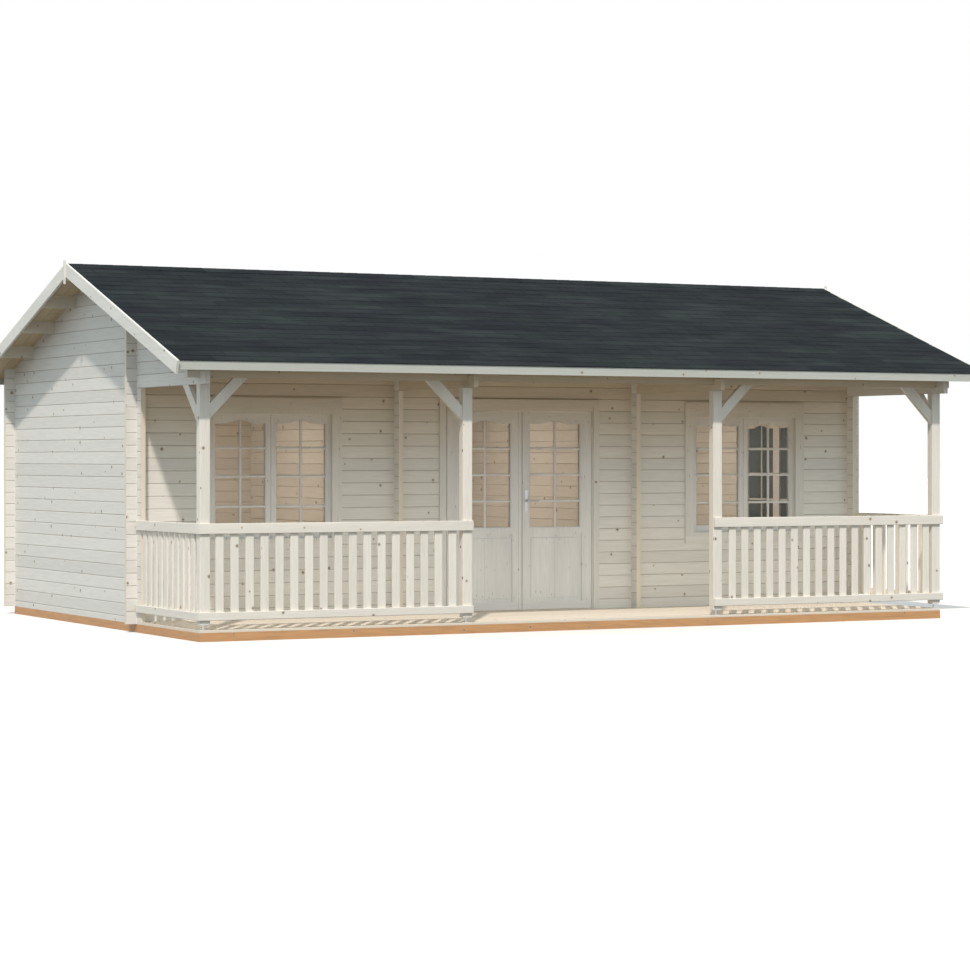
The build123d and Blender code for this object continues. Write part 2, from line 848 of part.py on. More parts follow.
front_left, front_right, front_over_door = front_walls()
window_height_span = (window_opening_bottom, window_opening_top)
side_window_across = (side_window_offset - window_opening_half, side_window_offset + window_opening_half)
parts = {
    "cabin_bearers": cabin_bearers(),
    "veranda_bearers": veranda_bearers(),
    "cabin_floor": cabin_floor(),
    "veranda_deck": veranda_deck(),
    "front_wall_left": front_left,
    "front_wall_right": front_right,
    "front_wall_over_door": front_over_door,
    "rear_wall": rear_wall(),
    "left_gable_wall": gable_wall(left_gable_faces, []),
    "right_gable_wall": gable_wall(right_gable_faces, [(side_window_across, window_height_span)]),
    "left_partition": partition(left_partition_faces),
    "right_partition": partition(right_partition_faces),
    "left_header": veranda_header(left_gable_faces),
    "right_header": veranda_header(right_gable_faces),
    "left_inner_header": veranda_header(left_partition_faces),
    "right_inner_header": veranda_header(right_partition_faces),
    "front_beam": front_beam(),
    "ridge_purlin": ridge_purlin(),
    "front_purlins": Compound(children=[purlin(place) for place in front_purlin_places]),
    "rear_purlins": Compound(children=[purlin(place) for place in rear_purlin_places]),
    "corner_posts": Compound(children=[corner_post(end) for end in (-1, 1)]),
    "middle_posts": Compound(children=[post(end * middle_post_offset, header_bottom) for end in (-1, 1)]),
    "knee_braces": knee_braces(),
    "left_front_railing": front_railing(-1),
    "right_front_railing": front_railing(1),
    "left_side_railing": side_railing(-1),
    "right_side_railing": side_railing(1),
    "front_roof_boards": roof_slab(-1, board_under, board_top, eave_run, verge_x),
    "rear_roof_boards": roof_slab(1, board_under, board_top, eave_run, verge_x),
    "front_shingles": roof_slab(-1, board_top, shingle_top, eave_run + shingle_overhang, verge_x),
    "rear_shingles": roof_slab(1, board_top, shingle_top, eave_run + shingle_overhang, verge_x),
    "ridge_cap": ridge_cap(),
    "front_fascia": fascia(-1),
    "rear_fascia": fascia(1),
    "left_barge_boards": Compound(children=[barge_board(side, -1) for side in (-1, 1)]),
    "right_barge_boards": Compound(children=[barge_board(side, 1) for side in (-1, 1)]),
    "apex_plates": Compound(children=[apex_plate(end) for end in (-1, 1)]),
    "window_frames": Compound(children=[place * window_frame() for place in window_places]),
    "window_casements": Compound(children=[place * leaf for place in window_places for leaf in casements()]),
    "window_glass": Compound(children=[place * pane for place in window_places for pane in casement_glass()]),
    "door_jamb_left": door_place * mirror(door_jamb(), about=Plane.YZ),
    "door_jamb_right": door_place * door_jamb(),
    "door_head": door_place * door_head(),
    "door_threshold": door_place * door_threshold(),
    "left_door_leaf": door_place * (mirror(door_leaf(left_leaf_inner_x), about=Plane.YZ) + meeting_strip()),
    "left_door_glass": door_place * mirror(door_glass(), about=Plane.YZ),
    "right_door_leaf": door_place * door_leaf(right_leaf_inner_x),
    "right_door_glass": door_place * door_glass(),
    "door_handle": door_place * door_handle(),
}

post_middles = (-corner_post_middle, -middle_post_offset, middle_post_offset, corner_post_middle)
parts["post_feet"] = Compound(children=[post_foot(middle) for middle in post_middles])

os.makedirs("parts", exist_ok=True)
for name, shape in parts.items():
    export_step(shape, os.path.join("parts", name + ".step"))
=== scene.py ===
import math

import bpy
import numpy as np
from bpy.props import FloatProperty, FloatVectorProperty, IntProperty, PointerProperty
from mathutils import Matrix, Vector


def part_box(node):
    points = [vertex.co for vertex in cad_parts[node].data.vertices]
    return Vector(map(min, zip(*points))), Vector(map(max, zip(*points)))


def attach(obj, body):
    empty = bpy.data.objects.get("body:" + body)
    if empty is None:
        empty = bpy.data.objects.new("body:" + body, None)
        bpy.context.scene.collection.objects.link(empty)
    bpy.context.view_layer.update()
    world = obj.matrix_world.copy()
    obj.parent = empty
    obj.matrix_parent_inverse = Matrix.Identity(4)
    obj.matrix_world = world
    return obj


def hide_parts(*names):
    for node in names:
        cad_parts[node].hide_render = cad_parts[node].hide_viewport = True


bl_info = {
    "name": "Log cabin dressing",
    "version": (1, 0, 0),
    "blender": (4, 5, 0),
    "location": "3D View > Sidebar > Cabin",
    "description": "Dresses a log cabin's CAD frame with shingles, boards, railings, bars and finishes",
    "category": "Object",
}

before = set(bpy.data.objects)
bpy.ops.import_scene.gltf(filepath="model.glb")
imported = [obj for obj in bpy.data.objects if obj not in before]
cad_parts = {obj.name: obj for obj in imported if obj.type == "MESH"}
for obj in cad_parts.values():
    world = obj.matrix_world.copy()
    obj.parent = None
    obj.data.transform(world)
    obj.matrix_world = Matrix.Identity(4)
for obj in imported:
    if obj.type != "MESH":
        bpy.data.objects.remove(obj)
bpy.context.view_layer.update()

CABIN = "cabin"
LEFT_DOOR = "left_door"
RIGHT_DOOR = "right_door"
RIGHT_ANGLE = math.pi / 2
ALONG_X, ALONG_Y, ALONG_Z = np.eye(3)


# Settings that a user can change


def paint(name, description, default):
    """A colour."""
    return FloatVectorProperty(
        name=name, description=description, subtype="COLOR", size=3, min=0.0, max=1.0, default=default
    )


def metres(name, description, default):
    """A length."""
    return FloatProperty(name=name, description=description, unit="LENGTH", min=0.0, default=default)


def shift(name, description, default):
    """A distance that may be negative."""
    return FloatProperty(name=name, description=description, unit="LENGTH", default=default)


def places(name, description, *default):
    """Several coordinates."""
    return FloatVectorProperty(
        name=name, description=description, unit="LENGTH", size=len(default), default=default
    )


def degrees(name, description, default):
    """An angle, with its default given in degrees."""
    return FloatProperty(name=name, description=description, subtype="ANGLE", default=math.radians(default))


def amount(name, description, default):
    """A plain number from zero up."""
    return FloatProperty(name=name, description=description, min=0.0, default=default)


def number_of(name, description, default):
    """How many like pieces there are."""
    return IntProperty(name=name, description=description, min=1, default=default)


class CabinWood(bpy.types.PropertyGroup):
    """Colours of the timber and the log courses."""

    log_colour: paint("Logs", "Planed spruce of the log walls", (0.77, 0.745, 0.69))
    frame_colour: paint("Frame", "Posts, braces and railings", (0.805, 0.752, 0.67))
    trim_colour: paint("Trim", "Barge boards, frames and trim", (0.74, 0.72, 0.665))
    fascia_colour: paint("Fascias", "Boards along the eaves", (0.505, 0.512, 0.462))
    # Painted shade: the purlins are a darker spruce than the logs, for the shade under the overhangs.
    purlin_shade_colour: paint("Purlins", "Purlins under the overhangs", (0.62, 0.57, 0.47))
    joinery_colour: paint("Joinery", "Door leaves and casements", (0.75, 0.735, 0.71))
    floor_colour: paint("Floor", "Deck and floor boards", (0.76, 0.68, 0.57))
    # Painted shade: the roof boards are a darker, browner spruce than the logs, for the shade on the roof's
    # underside.
    soffit_shade_colour: paint("Roof boards", "Underside of the roof", (0.56, 0.45, 0.29))
    bearer_colour: paint("Bearers", "Impregnated bearers", (0.59, 0.315, 0.145))
    knot_colour: paint("Knots", "Heart of a knot", (0.16, 0.11, 0.075))
    halo_colour: paint("Knot rings", "Wood round a knot", (0.50, 0.40, 0.29))
    end_colour: paint("End grain", "Sawn ends of logs", (0.82, 0.72, 0.58))
    # Painted shade: dark colour of the vee between two logs and of a door panel's groove.
    gap_shade_colour: paint("Joints", "Shadowed joint between two logs", (0.20, 0.15, 0.10))
    # Painted shade: the tint below darkens and warms the wood between these heights, for the shade and warm
    # bounced light under the roof.
    roof_shade_tint: paint("Painted roof shade", "Painted shade that turns the wood darker and warmer under the roof", (0.88, 0.79, 0.65))
    roof_shade_low: metres("Roof shade low", "Height where the sheltered tint begins", 1.50)
    roof_shade_high: metres("Roof shade high", "Height where the sheltered tint is full", 2.15)
    log_height: metres("Log height", "Height of a log course", 0.114)
    wall_base: metres("Wall base", "Height of the lowest log", 0.074)


class CabinRoof(bpy.types.PropertyGroup):
    """Shingles, ridge and roof boards."""

    pitch: degrees("Pitch", "Slope of the roof", 19.25)
    layer: metres("Shingle layer", "Thickness of the laid shingles", 0.008)
    exposure: metres("Exposure", "Length of shingle that shows in each course", 0.146)
    tab_width: metres("Tab width", "Width of one shingle tab", 0.334)
    tab_gap: metres("Tab gap", "Slot between two tabs", 0.003)
    tab_thickness: metres("Tab thickness", "Thickness at a tab's lower edge", 0.0018)
    felt: metres("Felt", "Thickness of the felt under the tabs", 0.001)
    tab_lift: metres("Tab lift", "Lift of a tab's lower edge, and how much it varies", 0.0006)
    tab_stagger: metres("Tab stagger", "How much the lower edges vary along the slope", 0.002)
    headlap: metres("Headlap", "Length of a tab under the course above", 0.04)
    ridge_thickness: metres("Ridge thickness", "Thickness of a ridge tab", 0.003)
    ridge_bed: metres("Ridge bed", "Depth of a ridge tab's underside below the CAD ridge's top", 0.013)
    ridge_lift: metres("Ridge lift", "Rise of a ridge tab along the ridge", 0.002)
    board_thickness: metres("Board thickness", "Thickness of a roof board", 0.019)
    board_width: metres("Board width", "Width of a roof board", 0.096)
    board_vee: metres("Board vee", "Bevel along a roof board's lower edges", 0.005)
    dark_colour: paint("Dark granules", "Darkest shingle tone", (0.0125, 0.0158, 0.0172))
    violet_colour: paint("Violet granules", "Bluish shingle tone", (0.0225, 0.0250, 0.0310))
    light_colour: paint("Light granules", "Lightest shingle tone", (0.0345, 0.0415, 0.0412))


class CabinVeranda(bpy.types.PropertyGroup):
    """Deck boards and railings."""

    deck_board: metres("Deck board", "Width of a deck board", 0.1403)
    floor_board: metres("Floor board", "Width of a floor board", 0.121)
    board_gap: metres("Board gap", "Gap between two boards", 0.003)
    rail_thickness: metres("Rail thickness", "Depth of a railing's rails", 0.021)
    rail_inset: metres("Rail inset", "Distance of a rail's face from the panel's outer face", 0.019)
    top_rail: metres("Top rail", "Height of the top rail", 0.090)
    bottom_rail: metres("Bottom rail", "Height of the bottom rail", 0.070)
    baluster_width: metres("Baluster width", "Width of a baluster", 0.075)
    baluster_thickness: metres("Baluster thickness", "Thickness of a baluster", 0.020)
    baluster_drop: metres("Baluster setback", "Distance from a baluster's end to the rail's edge", 0.014)
    post_width: metres("Post width", "Width of a post", 0.095)
    post_depth: metres("Post depth", "Depth of a post", 0.080)
    front_count: number_of("Front balusters", "Balusters in a front panel", 17)
    side_count: number_of("Side balusters", "Balusters in a side panel", 10)
    panel_shift: shift("Panel shift", "Shift of all front balusters along X", 0.0075)
    inner_reach: metres("Inner reach", "Baluster spacing starts this far from the middle post", 0.0075)
    outer_reach: metres("Outer reach", "Baluster spacing runs this far into the corner post", 0.0215)
    edge_bevel: metres("Edge bevel", "Planed bevel along a rail's or baluster's edges", 0.004)
    board_bevel: metres("Board bevel", "Planed bevel along a floor or deck board's edges", 0.002)


class CabinGlazing(bpy.types.PropertyGroup):
    """Panes and glazing bars of the door and the windows."""

    glass_colour: paint("Glass", "Body colour of the panes", (0.16, 0.19, 0.19))
    bar_width: metres("Bar width", "Width of a glazing bar", 0.022)
    bar_depth: metres("Bar depth", "Depth of a glazing bar", 0.026)
    bar_bevel: metres("Bar bevel", "Bevel along a glazing bar's edges", 0.0066)
    bar_bed: metres("Bar bed", "Depth of a bar in its frame", 0.001)
    door_levels: places("Door bars", "Heights of the door's cross bars", 1.146, 1.397, 1.649)
    window_levels: places("Window bars", "Heights of the windows' cross bars", 1.116, 1.390, 1.650)
    window_centres: places("Front windows", "Middles of the front windows along X", -2.550, 2.575)
    side_centre: shift("Side window", "Middle of the side window along Y", 0.330)
    casement_width: metres("Casement width", "Width of one casement", 0.598)
    casement_gap: metres("Casement gap", "Gap between two casements", 0.004)
    stile_width: metres("Stile width", "Width of a casement's stile", 0.055)
    leaf_thickness: metres("Leaf thickness", "Thickness of a door leaf", 0.040)
    rail_levels: places("Rail levels", "Heights outside which a leaf's grain lies flat", 0.18, 1.925)
    frame_levels: places("Frame levels", "Heights outside which a window frame's grain lies flat", 0.78, 2.0)
    panel_levels: places("Panel levels", "Lower and upper end of the groove in a door panel", 0.214, 0.793)
    groove_width: metres("Groove width", "Width of the groove in a door panel", 0.008)
    crown: metres("Crown", "Height of a casement pane's middle", 1.903)
    door_crown: metres("Door crown", "Height of a door pane's middle", 1.914)
    sill: metres("Sill", "Height of a casement pane's lower edge", 0.893)
    door_sill: metres("Door sill", "Height of a door pane's lower edge", 0.897)


class CabinMetal(bpy.types.PropertyGroup):
    """Steel of the post feet and the door handle."""

    feet_colour: paint("Post feet", "Galvanised steel of the post feet", (0.62, 0.63, 0.64))
    handle_colour: paint("Handle", "Satin steel of the door handle", (0.60, 0.61, 0.63))
    roughness: amount("Roughness", "Roughness of both steels", 0.42)


class CabinStage(bpy.types.PropertyGroup):
    """Floor, light and camera."""

    floor_colour: paint("Floor", "Studio floor", (0.98, 0.90, 0.87))
    bounce_colour: paint("Floor bounce", "Floor as the object sees it", (0.12, 0.11, 0.10))
    floor_reach: metres("Floor reach", "Distance from the origin to the floor's edges", 150.0)
    floor_gap: metres("Floor gap", "Depth of the floor below the bearers", 0.001)
    sun_strength: amount("Sun", "Strength of the key light", 2.7)
    sun_colour: paint("Sun colour", "Colour of the key light", (1.0, 0.92, 0.86))
    sun_size: degrees("Sun size", "Softness of the shadows", 2.0)
    sun_direction: FloatVectorProperty(
        name="Sun direction", description="Way the key light travels", size=3, subtype="DIRECTION",
        default=(0.31, 0.464, -0.632),
    )
    sky_strength: amount("Sky", "Strength of the soft light", 0.86)
    sky_colour: paint("Sky colour", "Colour of the soft light", (0.80, 0.95, 1.0))
    room_light: amount("Room light", "Power of the lamp in each room", 26.5)
    room_colour: paint("Room colour", "Colour of the room lamps", (1.0, 0.87, 0.74))
    room_lamp: places("Room lamp", "A room lamp's X from its room's middle, Y and height", -0.28, 0.9, 2.2)
    room_size: metres("Room lamp size", "Side of a room lamp", 1.6)
    veranda_light: amount("Veranda light", "Power of the veranda's fill", 11.0)
    veranda_colour: paint("Veranda colour", "Colour of the veranda's fill", (1.0, 0.92, 0.84))
    veranda_inset: metres("Veranda lamp inset", "Distance of the fill behind the veranda's front", 0.12)
    veranda_height: metres("Veranda lamp height", "Height of the fill's middle", 0.5)
    veranda_size: metres("Veranda lamp size", "Height of the fill", 0.6)
    side_light: amount("Side light", "Power of the fill beside the gable", 26.0)
    side_colour: paint("Side colour", "Colour of the fill beside the gable", (0.64, 0.78, 1.0))
    side_distance: metres("Side distance", "Distance of the side fill from the gable", 7.0)
    side_size: metres("Side lamp size", "Side of the side fill", 4.0)
    lens: amount("Lens", "Focal length in millimetres", 104.87)
    sensor: amount("Sensor", "Width of the sensor in millimetres", 36.0)
    camera_shift: FloatProperty(
        name="Camera shift", description="Vertical shift of the lens", default=-0.02836
    )
    camera_turn: degrees("Camera turn", "Turn of the level camera about Z", -27.6279)
    camera_place: places("Camera place", "Where the camera stands", -12.8082, -24.7545, 1.5625)
    view_distance: metres("View distance", "Farthest distance that the camera sees", 400.0)


# Surfaces worked out as whole arrays


def board_profile(width, height, bevel):
    """Section of a planed board: a rectangle whose four corners are cut off by a bevel, as eight points."""
    x, y = width / 2, height / 2
    right = [(x - bevel, -y), (x, bevel - y), (x, y - bevel), (x - bevel, y)]
    left = [(bevel - x, y), (-x, y - bevel), (-x, bevel - y), (bevel - x, -y)]
    return np.array(right + left)


def bars(starts, ends, across, profile):
    """Straight bars with one closed section.

    Corner k of a bar is its end point plus the unit vector across times the profile's first offset, plus
    the unit vector square to across and to the bar times the second offset. Neighbouring corners of both
    ends make the sides.
    """
    starts, ends, across = (np.atleast_2d(np.asarray(values, float)) for values in (starts, ends, across))
    run = ends - starts
    run = run / np.linalg.norm(run, axis=1, keepdims=True)
    across = np.broadcast_to(across, starts.shape)
    up = np.cross(run, across)
    tips = np.stack([starts, ends], 1)[:, :, None, :]
    points = tips + across[:, None, None, :] * profile[:, :1] + up[:, None, None, :] * profile[:, 1:]
    count = len(profile)
    first = np.arange(len(starts))[:, None] * 2 * count
    here = np.arange(count)
    after = (here + 1) % count
    sides = np.stack([first + here, first + after, first + count + after, first + count + here], -1)
    lids = np.concatenate([first + here[::-1], first + count + here])
    return points.reshape(-1, 3), sides.reshape(-1, 4).tolist() + lids.tolist()


def merged(*surfaces):
    """Several surfaces as one list of points and one list of faces, with the face numbers moved on."""
    points, faces, moved = [], [], 0
    for part_points, part_faces in surfaces:
        points.append(part_points)
        faces += [[corner + moved for corner in face] for face in part_faces]
        moved += len(part_points)
    return np.concatenate(points), faces


def row_of_points(count, x, y, z):
    """Points whose coordinates are each one number for all or an array with one for each."""
    return np.stack([np.broadcast_to(part, count) for part in (x, y, z)], -1)


def divided(low, high, count):
    """Width and middles of equal parts of a length."""
    width = (high - low) / count
    return width, low + width * (np.arange(count) + 0.5)


def spaced(low, high, count, width):
    """Middles of pieces of one width that divide a clear length with equal gaps."""
    gap = (high - low - count * width) / (count + 1)
    return low + gap + width / 2 + np.arange(count) * (width + gap)


def box_of(node):
    """Both corners of a CAD node's box as arrays."""
    return [np.array(corner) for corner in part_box(node)]


def rooms():
    """Ends along X of the three rooms, between the gables and the partitions."""
    inner = [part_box("left_gable_wall")[1][0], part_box("right_gable_wall")[0][0]]
    left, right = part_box("left_partition"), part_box("right_partition")
    return [(inner[0], left[0][0]), (left[1][0], right[0][0]), (right[1][0], inner[1])]


def add_piece(name, surface, material, body=CABIN, stands_for=(), tones=None):
    """Puts a surface into the scene as one piece that rides on a body of the frame."""
    points, faces = surface
    mesh = bpy.data.meshes.new(name)
    mesh.from_pydata(np.asarray(points).tolist(), [], faces)
    if tones is not None:
        values = mesh.attributes.new("tone", "FLOAT", "FACE").data
        values.foreach_set("value", np.asarray(tones, np.float32))
    mesh.materials.append(material)
    mesh.update()
    piece = bpy.data.objects.new(name, mesh)
    bpy.context.scene.collection.objects.link(piece)
    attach(piece, body)
    if stands_for:
        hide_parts(*stands_for)
    return piece


# Patterns of the finishes: scales are repeats in a metre, along and across the grain or along X, Y and Z

FIBRE_SCALES = (5.0, 95.0, 95.0)
FIBRE_SHADE = 0.22
FIBRE_LOSS = 0.14
FIBRE_RELIEF = 0.8
FIBRE_RANGE = (0.2, 0.8)
WOOD_ROUGHNESS = (0.54, 0.74)
GROWTH_SCALES = (0.7, 11.0, 11.0)
GROWTH_BANDS = 9.0
GROWTH_SHADE = 0.10
GROWTH_RELIEF = 0.35
FOLD = 0.5
TONE_SCALES = (0.35, 6.0, 6.0)
TONE_RANGE = (0.3, 0.7)
BOARD_TONES = (0.94, 1.03)
COURSE_TONES = (0.93, 1.03)
JOINT_RANGE = (0.006, 0.030)
JOINT_SHADE_COVER = 0.55
GROOVE_SHADE_COVER = 0.2
KNOT_SIZES = (0.03, 0.07)
LEAST_KNOT = 0.004
LAYER_STEP = 7.3
WOBBLE_SCALES = (60.0, 60.0, 0.0)
WOBBLE = 0.016
HEART_SHARE = 0.62
HEART_COVER = 0.8
HEART_RELIEF = 0.5
RING_RANGE = (-0.012, 0.022)
RING_COVER = 0.55
END_SCALES = (0.0, 34.0, 34.0)
END_BANDS = 14.0
END_SHADE = 0.22
END_BASE = 0.88
END_FACING = 0.8
SIDE_FACING = 0.5
WOOD_BUMP = {"Strength": 0.35, "Distance": 0.0012}
PATCH_SCALES = (0.8, 1.8, 1.8)
PATCH_SHARE = 0.6
HUE_SCALES = (1.3, 4.0, 7.0)
HUE_RANGE = (0.36, 0.64)
STREAK_SCALES = (3.2, 30.0, 60.0)
STREAK_SHARE = 1.3
GRANULE_SCALE = 420.0
GRANULE_SHARE = 0.5
GRANULE_BUMP = {"Strength": 0.6, "Distance": 0.0015}
GRANULE_ROUGHNESS = 0.95
GRANULE_GLOSS = 0.03
TAB_SHARE = 0.60
DARKENING = -0.76
SMEAR_SCALE = 9.0
SMEAR_RANGE = (0.3, 0.8)
GLASS_ROUGHNESS = (0.01, 0.05)
GLASS_COVER = (0.07, 1.0)
GLASS_BEND = 1.45
CLOUD_SCALE = 60.0
CLOUD_SHADE = 0.85
CLOUD_RANGE = (0.3, 0.7)
CLOUD_DULLING = (-0.08, 0.1)
FLOOR_ROUGHNESS = 0.9


# Materials

MIX_NUMBERS = 2
MIX_COLOURS = 6
MIX_RESULT = 2


class Graph:
    """Adds shader nodes to a material or the world, and joins a value to a socket or writes it there."""

    def __init__(self, owner, end):
        owner.use_nodes = True
        self.owner = owner
        self.tree = owner.node_tree
        self.tree.nodes.clear()
        self.end = self.tree.nodes.new(end)

    def put(self, socket, value):
        """Joins an output to a socket, or sets the socket."""
        if isinstance(value, bpy.types.NodeSocket):
            self.tree.links.new(value, socket)
        else:
            socket.default_value = value

    def node(self, kind, settings=None, **inputs):
        """A node with its settings and inputs; an input's name has its spaces written as underscores."""
        made = self.tree.nodes.new(kind)
        for key, value in (settings or {}).items():
            setattr(made, key, value)
        for key, value in inputs.items():
            self.put(made.inputs[key.replace("_", " ")], value)
        return made

    def fill(self, made, values, first=0):
        """Puts values into a node's inputs, in order from the first one on."""
        for socket, value in zip(made.inputs[first:], values):
            self.put(socket, value)

    def math(self, operation, *values):
        """One sum, product or comparison."""
        made = self.node("ShaderNodeMath", {"operation": operation})
        self.fill(made, values)
        return made.outputs[0]

    def ramp(self, value, low, high, start=0.0, stop=1.0):
        """A value carried from one range to another, held at both ends."""
        made = self.node("ShaderNodeMapRange", {"clamp": True})
        self.fill(made, (value, low, high, start, stop))
        return made.outputs[0]

    def mix(self, factor, first, second):
        """A blend of two colours."""
        made = self.node("ShaderNodeMix", {"data_type": "RGBA"})
        self.fill(made, [factor])
        self.fill(made, (first, second), MIX_COLOURS)
        return made.outputs[MIX_RESULT]

    def pick(self, factor, first, second):
        """A blend of two numbers."""
        made = self.node("ShaderNodeMix", {"data_type": "FLOAT"})
        self.fill(made, [factor])
        self.fill(made, (first, second), MIX_NUMBERS)
        return made.outputs[0]

    def dimmed(self, colour, shade):
        """A colour multiplied by a number."""
        made = self.node("ShaderNodeVectorMath", {"operation": "SCALE"}, Scale=shade)
        self.fill(made, [colour])
        return made.outputs[0]

    def scaled(self, parts, sizes):
        """A vector of three numbers, each multiplied by a size."""
        made = self.node("ShaderNodeCombineXYZ")
        self.fill(made, [self.math("MULTIPLY", part, size) for part, size in zip(parts, sizes)])
        return made.outputs[0]

    def parted(self, vector):
        """The three numbers of a vector."""
        return tuple(self.node("ShaderNodeSeparateXYZ", Vector=vector).outputs)

    def noise(self, vector, detail=3.0, roughness=0.55, scale=1.0):
        """Soft noise at a vector."""
        return self.node(
            "ShaderNodeTexNoise", Vector=vector, Scale=scale, Detail=detail, Roughness=roughness
        ).outputs[0]

    def place(self):
        """A point's place on the piece."""
        return self.node("ShaderNodeTexCoord").outputs["Object"]

    def backdrop_seen(self):
        """One where the camera, gloss or glass sees the surface, and zero where it only gives light."""
        rays = self.node("ShaderNodeLightPath").outputs
        seen = self.math("MAXIMUM", rays["Is Camera Ray"], rays["Is Glossy Ray"])
        return self.math("MAXIMUM", seen, rays["Is Transmission Ray"])

    def surface(self, shader):
        """Ends the graph at a shader."""
        self.tree.links.new(shader.outputs[0], self.end.inputs["Surface"])
        return self.owner


def material_graph(name):
    """The empty graph of a new material."""
    return Graph(bpy.data.materials.new(name), "ShaderNodeOutputMaterial")


def rgba(colour):
    """A colour with full cover."""
    return (*colour, 1.0)


def lie_of_grain(graph, axis, rails, spot, facing):
    """Where a point lies in the wood.

    Gives its place along the grain and twice across it, how far its face looks along the grain, and its
    place across the face, moved on with the depth so that the knots of two layers differ.
    """
    x, y, z = spot
    look_x, look_y, look_z = facing
    if axis == "frame":
        side = graph.math("GREATER_THAN", look_x, SIDE_FACING)
        grained = (graph.pick(side, x, y), graph.pick(side, y, x), z)
        end_on, look_first, look_second = None, graph.math("MAXIMUM", look_x, look_y), look_z
    else:
        order = {"x": (0, 1, 2), "y": (1, 0, 2), "z": (2, 0, 1)}[axis]
        grained = tuple(spot[index] for index in order)
        end_on, look_first, look_second = (facing[index] for index in order)
    if rails is not None:
        below = graph.math("LESS_THAN", z, rails[0])
        outside = graph.math("MAXIMUM", below, graph.math("GREATER_THAN", z, rails[1]))
        level = graph.math("ADD", x, y)
        grained = tuple(graph.pick(outside, *pair) for pair in ((z, level), (level, z), (y, z)))
        look_first, look_second = graph.math("MAXIMUM", look_x, look_y), look_z
    _, first, second = grained
    turned = graph.math("GREATER_THAN", look_first, look_second)
    depth = graph.pick(turned, second, first)
    flat = graph.math("MULTIPLY_ADD", depth, LAYER_STEP, graph.pick(turned, first, second))
    return grained, end_on, flat


def log_course(graph, z, base):
    """A height counted in log courses from the lowest joint."""
    return graph.math("DIVIDE", graph.math("SUBTRACT", z, base), bpy.context.scene.cabin_wood.log_height)


def growth(graph, grained, grain):
    """Fibres, growth lines and their shade: noise drawn out along the grain, and folded bands of it."""
    fibres = graph.noise(graph.scaled(grained, FIBRE_SCALES), detail=4.0, roughness=0.6)
    broad = graph.noise(graph.scaled(grained, GROWTH_SCALES), detail=2.0, roughness=0.5)
    lines = graph.math("PINGPONG", graph.math("MULTIPLY", broad, GROWTH_BANDS), FOLD)
    shade = graph.math("MULTIPLY_ADD", fibres, FIBRE_SHADE * grain, 1.0 - FIBRE_LOSS * grain)
    return fibres, lines, graph.math("MULTIPLY_ADD", lines, GROWTH_SHADE * grain, shade)


def board_tone(graph, grained, z, courses):
    """Tone of the wood: one dice throw for each log course, or slow noise where there are no courses."""
    if courses is None:
        tone = graph.noise(graph.scaled(grained, TONE_SCALES), detail=1.0)
        return graph.ramp(tone, *TONE_RANGE, *BOARD_TONES)
    row = graph.math("FLOOR", log_course(graph, z, courses))
    dice = graph.node("ShaderNodeTexWhiteNoise", {"noise_dimensions": "1D"}, W=row)
    return graph.ramp(dice.outputs["Value"], 0.0, 1.0, *COURSE_TONES)


def knots(graph, along, flat, knot_scale, knot_share):
    """Hearts and rings of knots: the middles of some cells of a flat cell pattern, with uneven edges."""
    middle = graph.scaled((along, flat, flat), (1.0, 1.0, 0.0))
    cells = graph.node(
        "ShaderNodeTexVoronoi", {"voronoi_dimensions": "2D"}, Vector=middle, Scale=knot_scale
    ).outputs
    chance = graph.node("ShaderNodeSeparateColor", Color=cells["Color"]).outputs[0]
    size = graph.ramp(chance, 1.0 - knot_share, 1.0, *KNOT_SIZES)
    size = graph.math("MULTIPLY", size, graph.math("GREATER_THAN", chance, 1.0 - knot_share))
    wobble = graph.noise(graph.scaled((along, flat, flat), WOBBLE_SCALES), detail=2.0)
    inward = graph.math("SUBTRACT", cells["Distance"], WOBBLE / 2)
    distance = graph.math("MULTIPLY_ADD", wobble, WOBBLE, inward)
    heart = graph.math("LESS_THAN", distance, graph.math("MULTIPLY", size, HEART_SHARE))
    edge = graph.ramp(graph.math("SUBTRACT", distance, size), *RING_RANGE, 1.0, 0.0)
    ring = graph.math("MULTIPLY", edge, graph.math("GREATER_THAN", size, LEAST_KNOT))
    return heart, ring


def roof_shaded_colour(graph, colour, x, z):
    """Painted shade: a colour that turns darker and warmer towards the roof, between the gables, for the
    shade under the roof.
    """
    palette = bpy.context.scene.cabin_wood
    warm = [part * share for part, share in zip(colour, palette.roof_shade_tint)]
    share = graph.ramp(z, palette.roof_shade_low, palette.roof_shade_high)
    inside = graph.math("LESS_THAN", graph.math("ABSOLUTE", x), rooms()[2][1])
    return graph.mix(graph.math("MULTIPLY", share, inside), rgba(colour), rgba(warm))


def course_joint_shade(graph, body, z, courses):
    """Painted shade: thin dark lines where two logs meet, for the shade in the vee between them; the
    distance from the nearest whole course sets the cover.
    """
    rise = graph.math("FRACT", graph.math("ADD", log_course(graph, z, courses), 0.5))
    gap = graph.math("ABSOLUTE", graph.math("SUBTRACT", rise, 0.5))
    cover = graph.ramp(gap, *JOINT_RANGE, JOINT_SHADE_COVER, 0.0)
    return graph.mix(cover, body, rgba(bpy.context.scene.cabin_wood.gap_shade_colour))


def panel_grooves(graph, body, x, z, grooves):
    """Painted shade: a faint dark upright line at each place along X, between the ends of the door panels,
    for the shade in the panel's groove.
    """
    sizes = bpy.context.scene.cabin_glazing
    low, high = sizes.panel_levels
    inside = graph.math("MULTIPLY", graph.math("GREATER_THAN", z, low), graph.math("LESS_THAN", z, high))
    for middle in grooves:
        away = graph.math("ABSOLUTE", graph.math("SUBTRACT", x, middle))
        line = graph.ramp(away, sizes.groove_width / 4, sizes.groove_width / 2, GROOVE_SHADE_COVER, 0.0)
        cover = graph.math("MULTIPLY", line, inside)
        body = graph.mix(cover, body, rgba(bpy.context.scene.cabin_wood.gap_shade_colour))
    return body


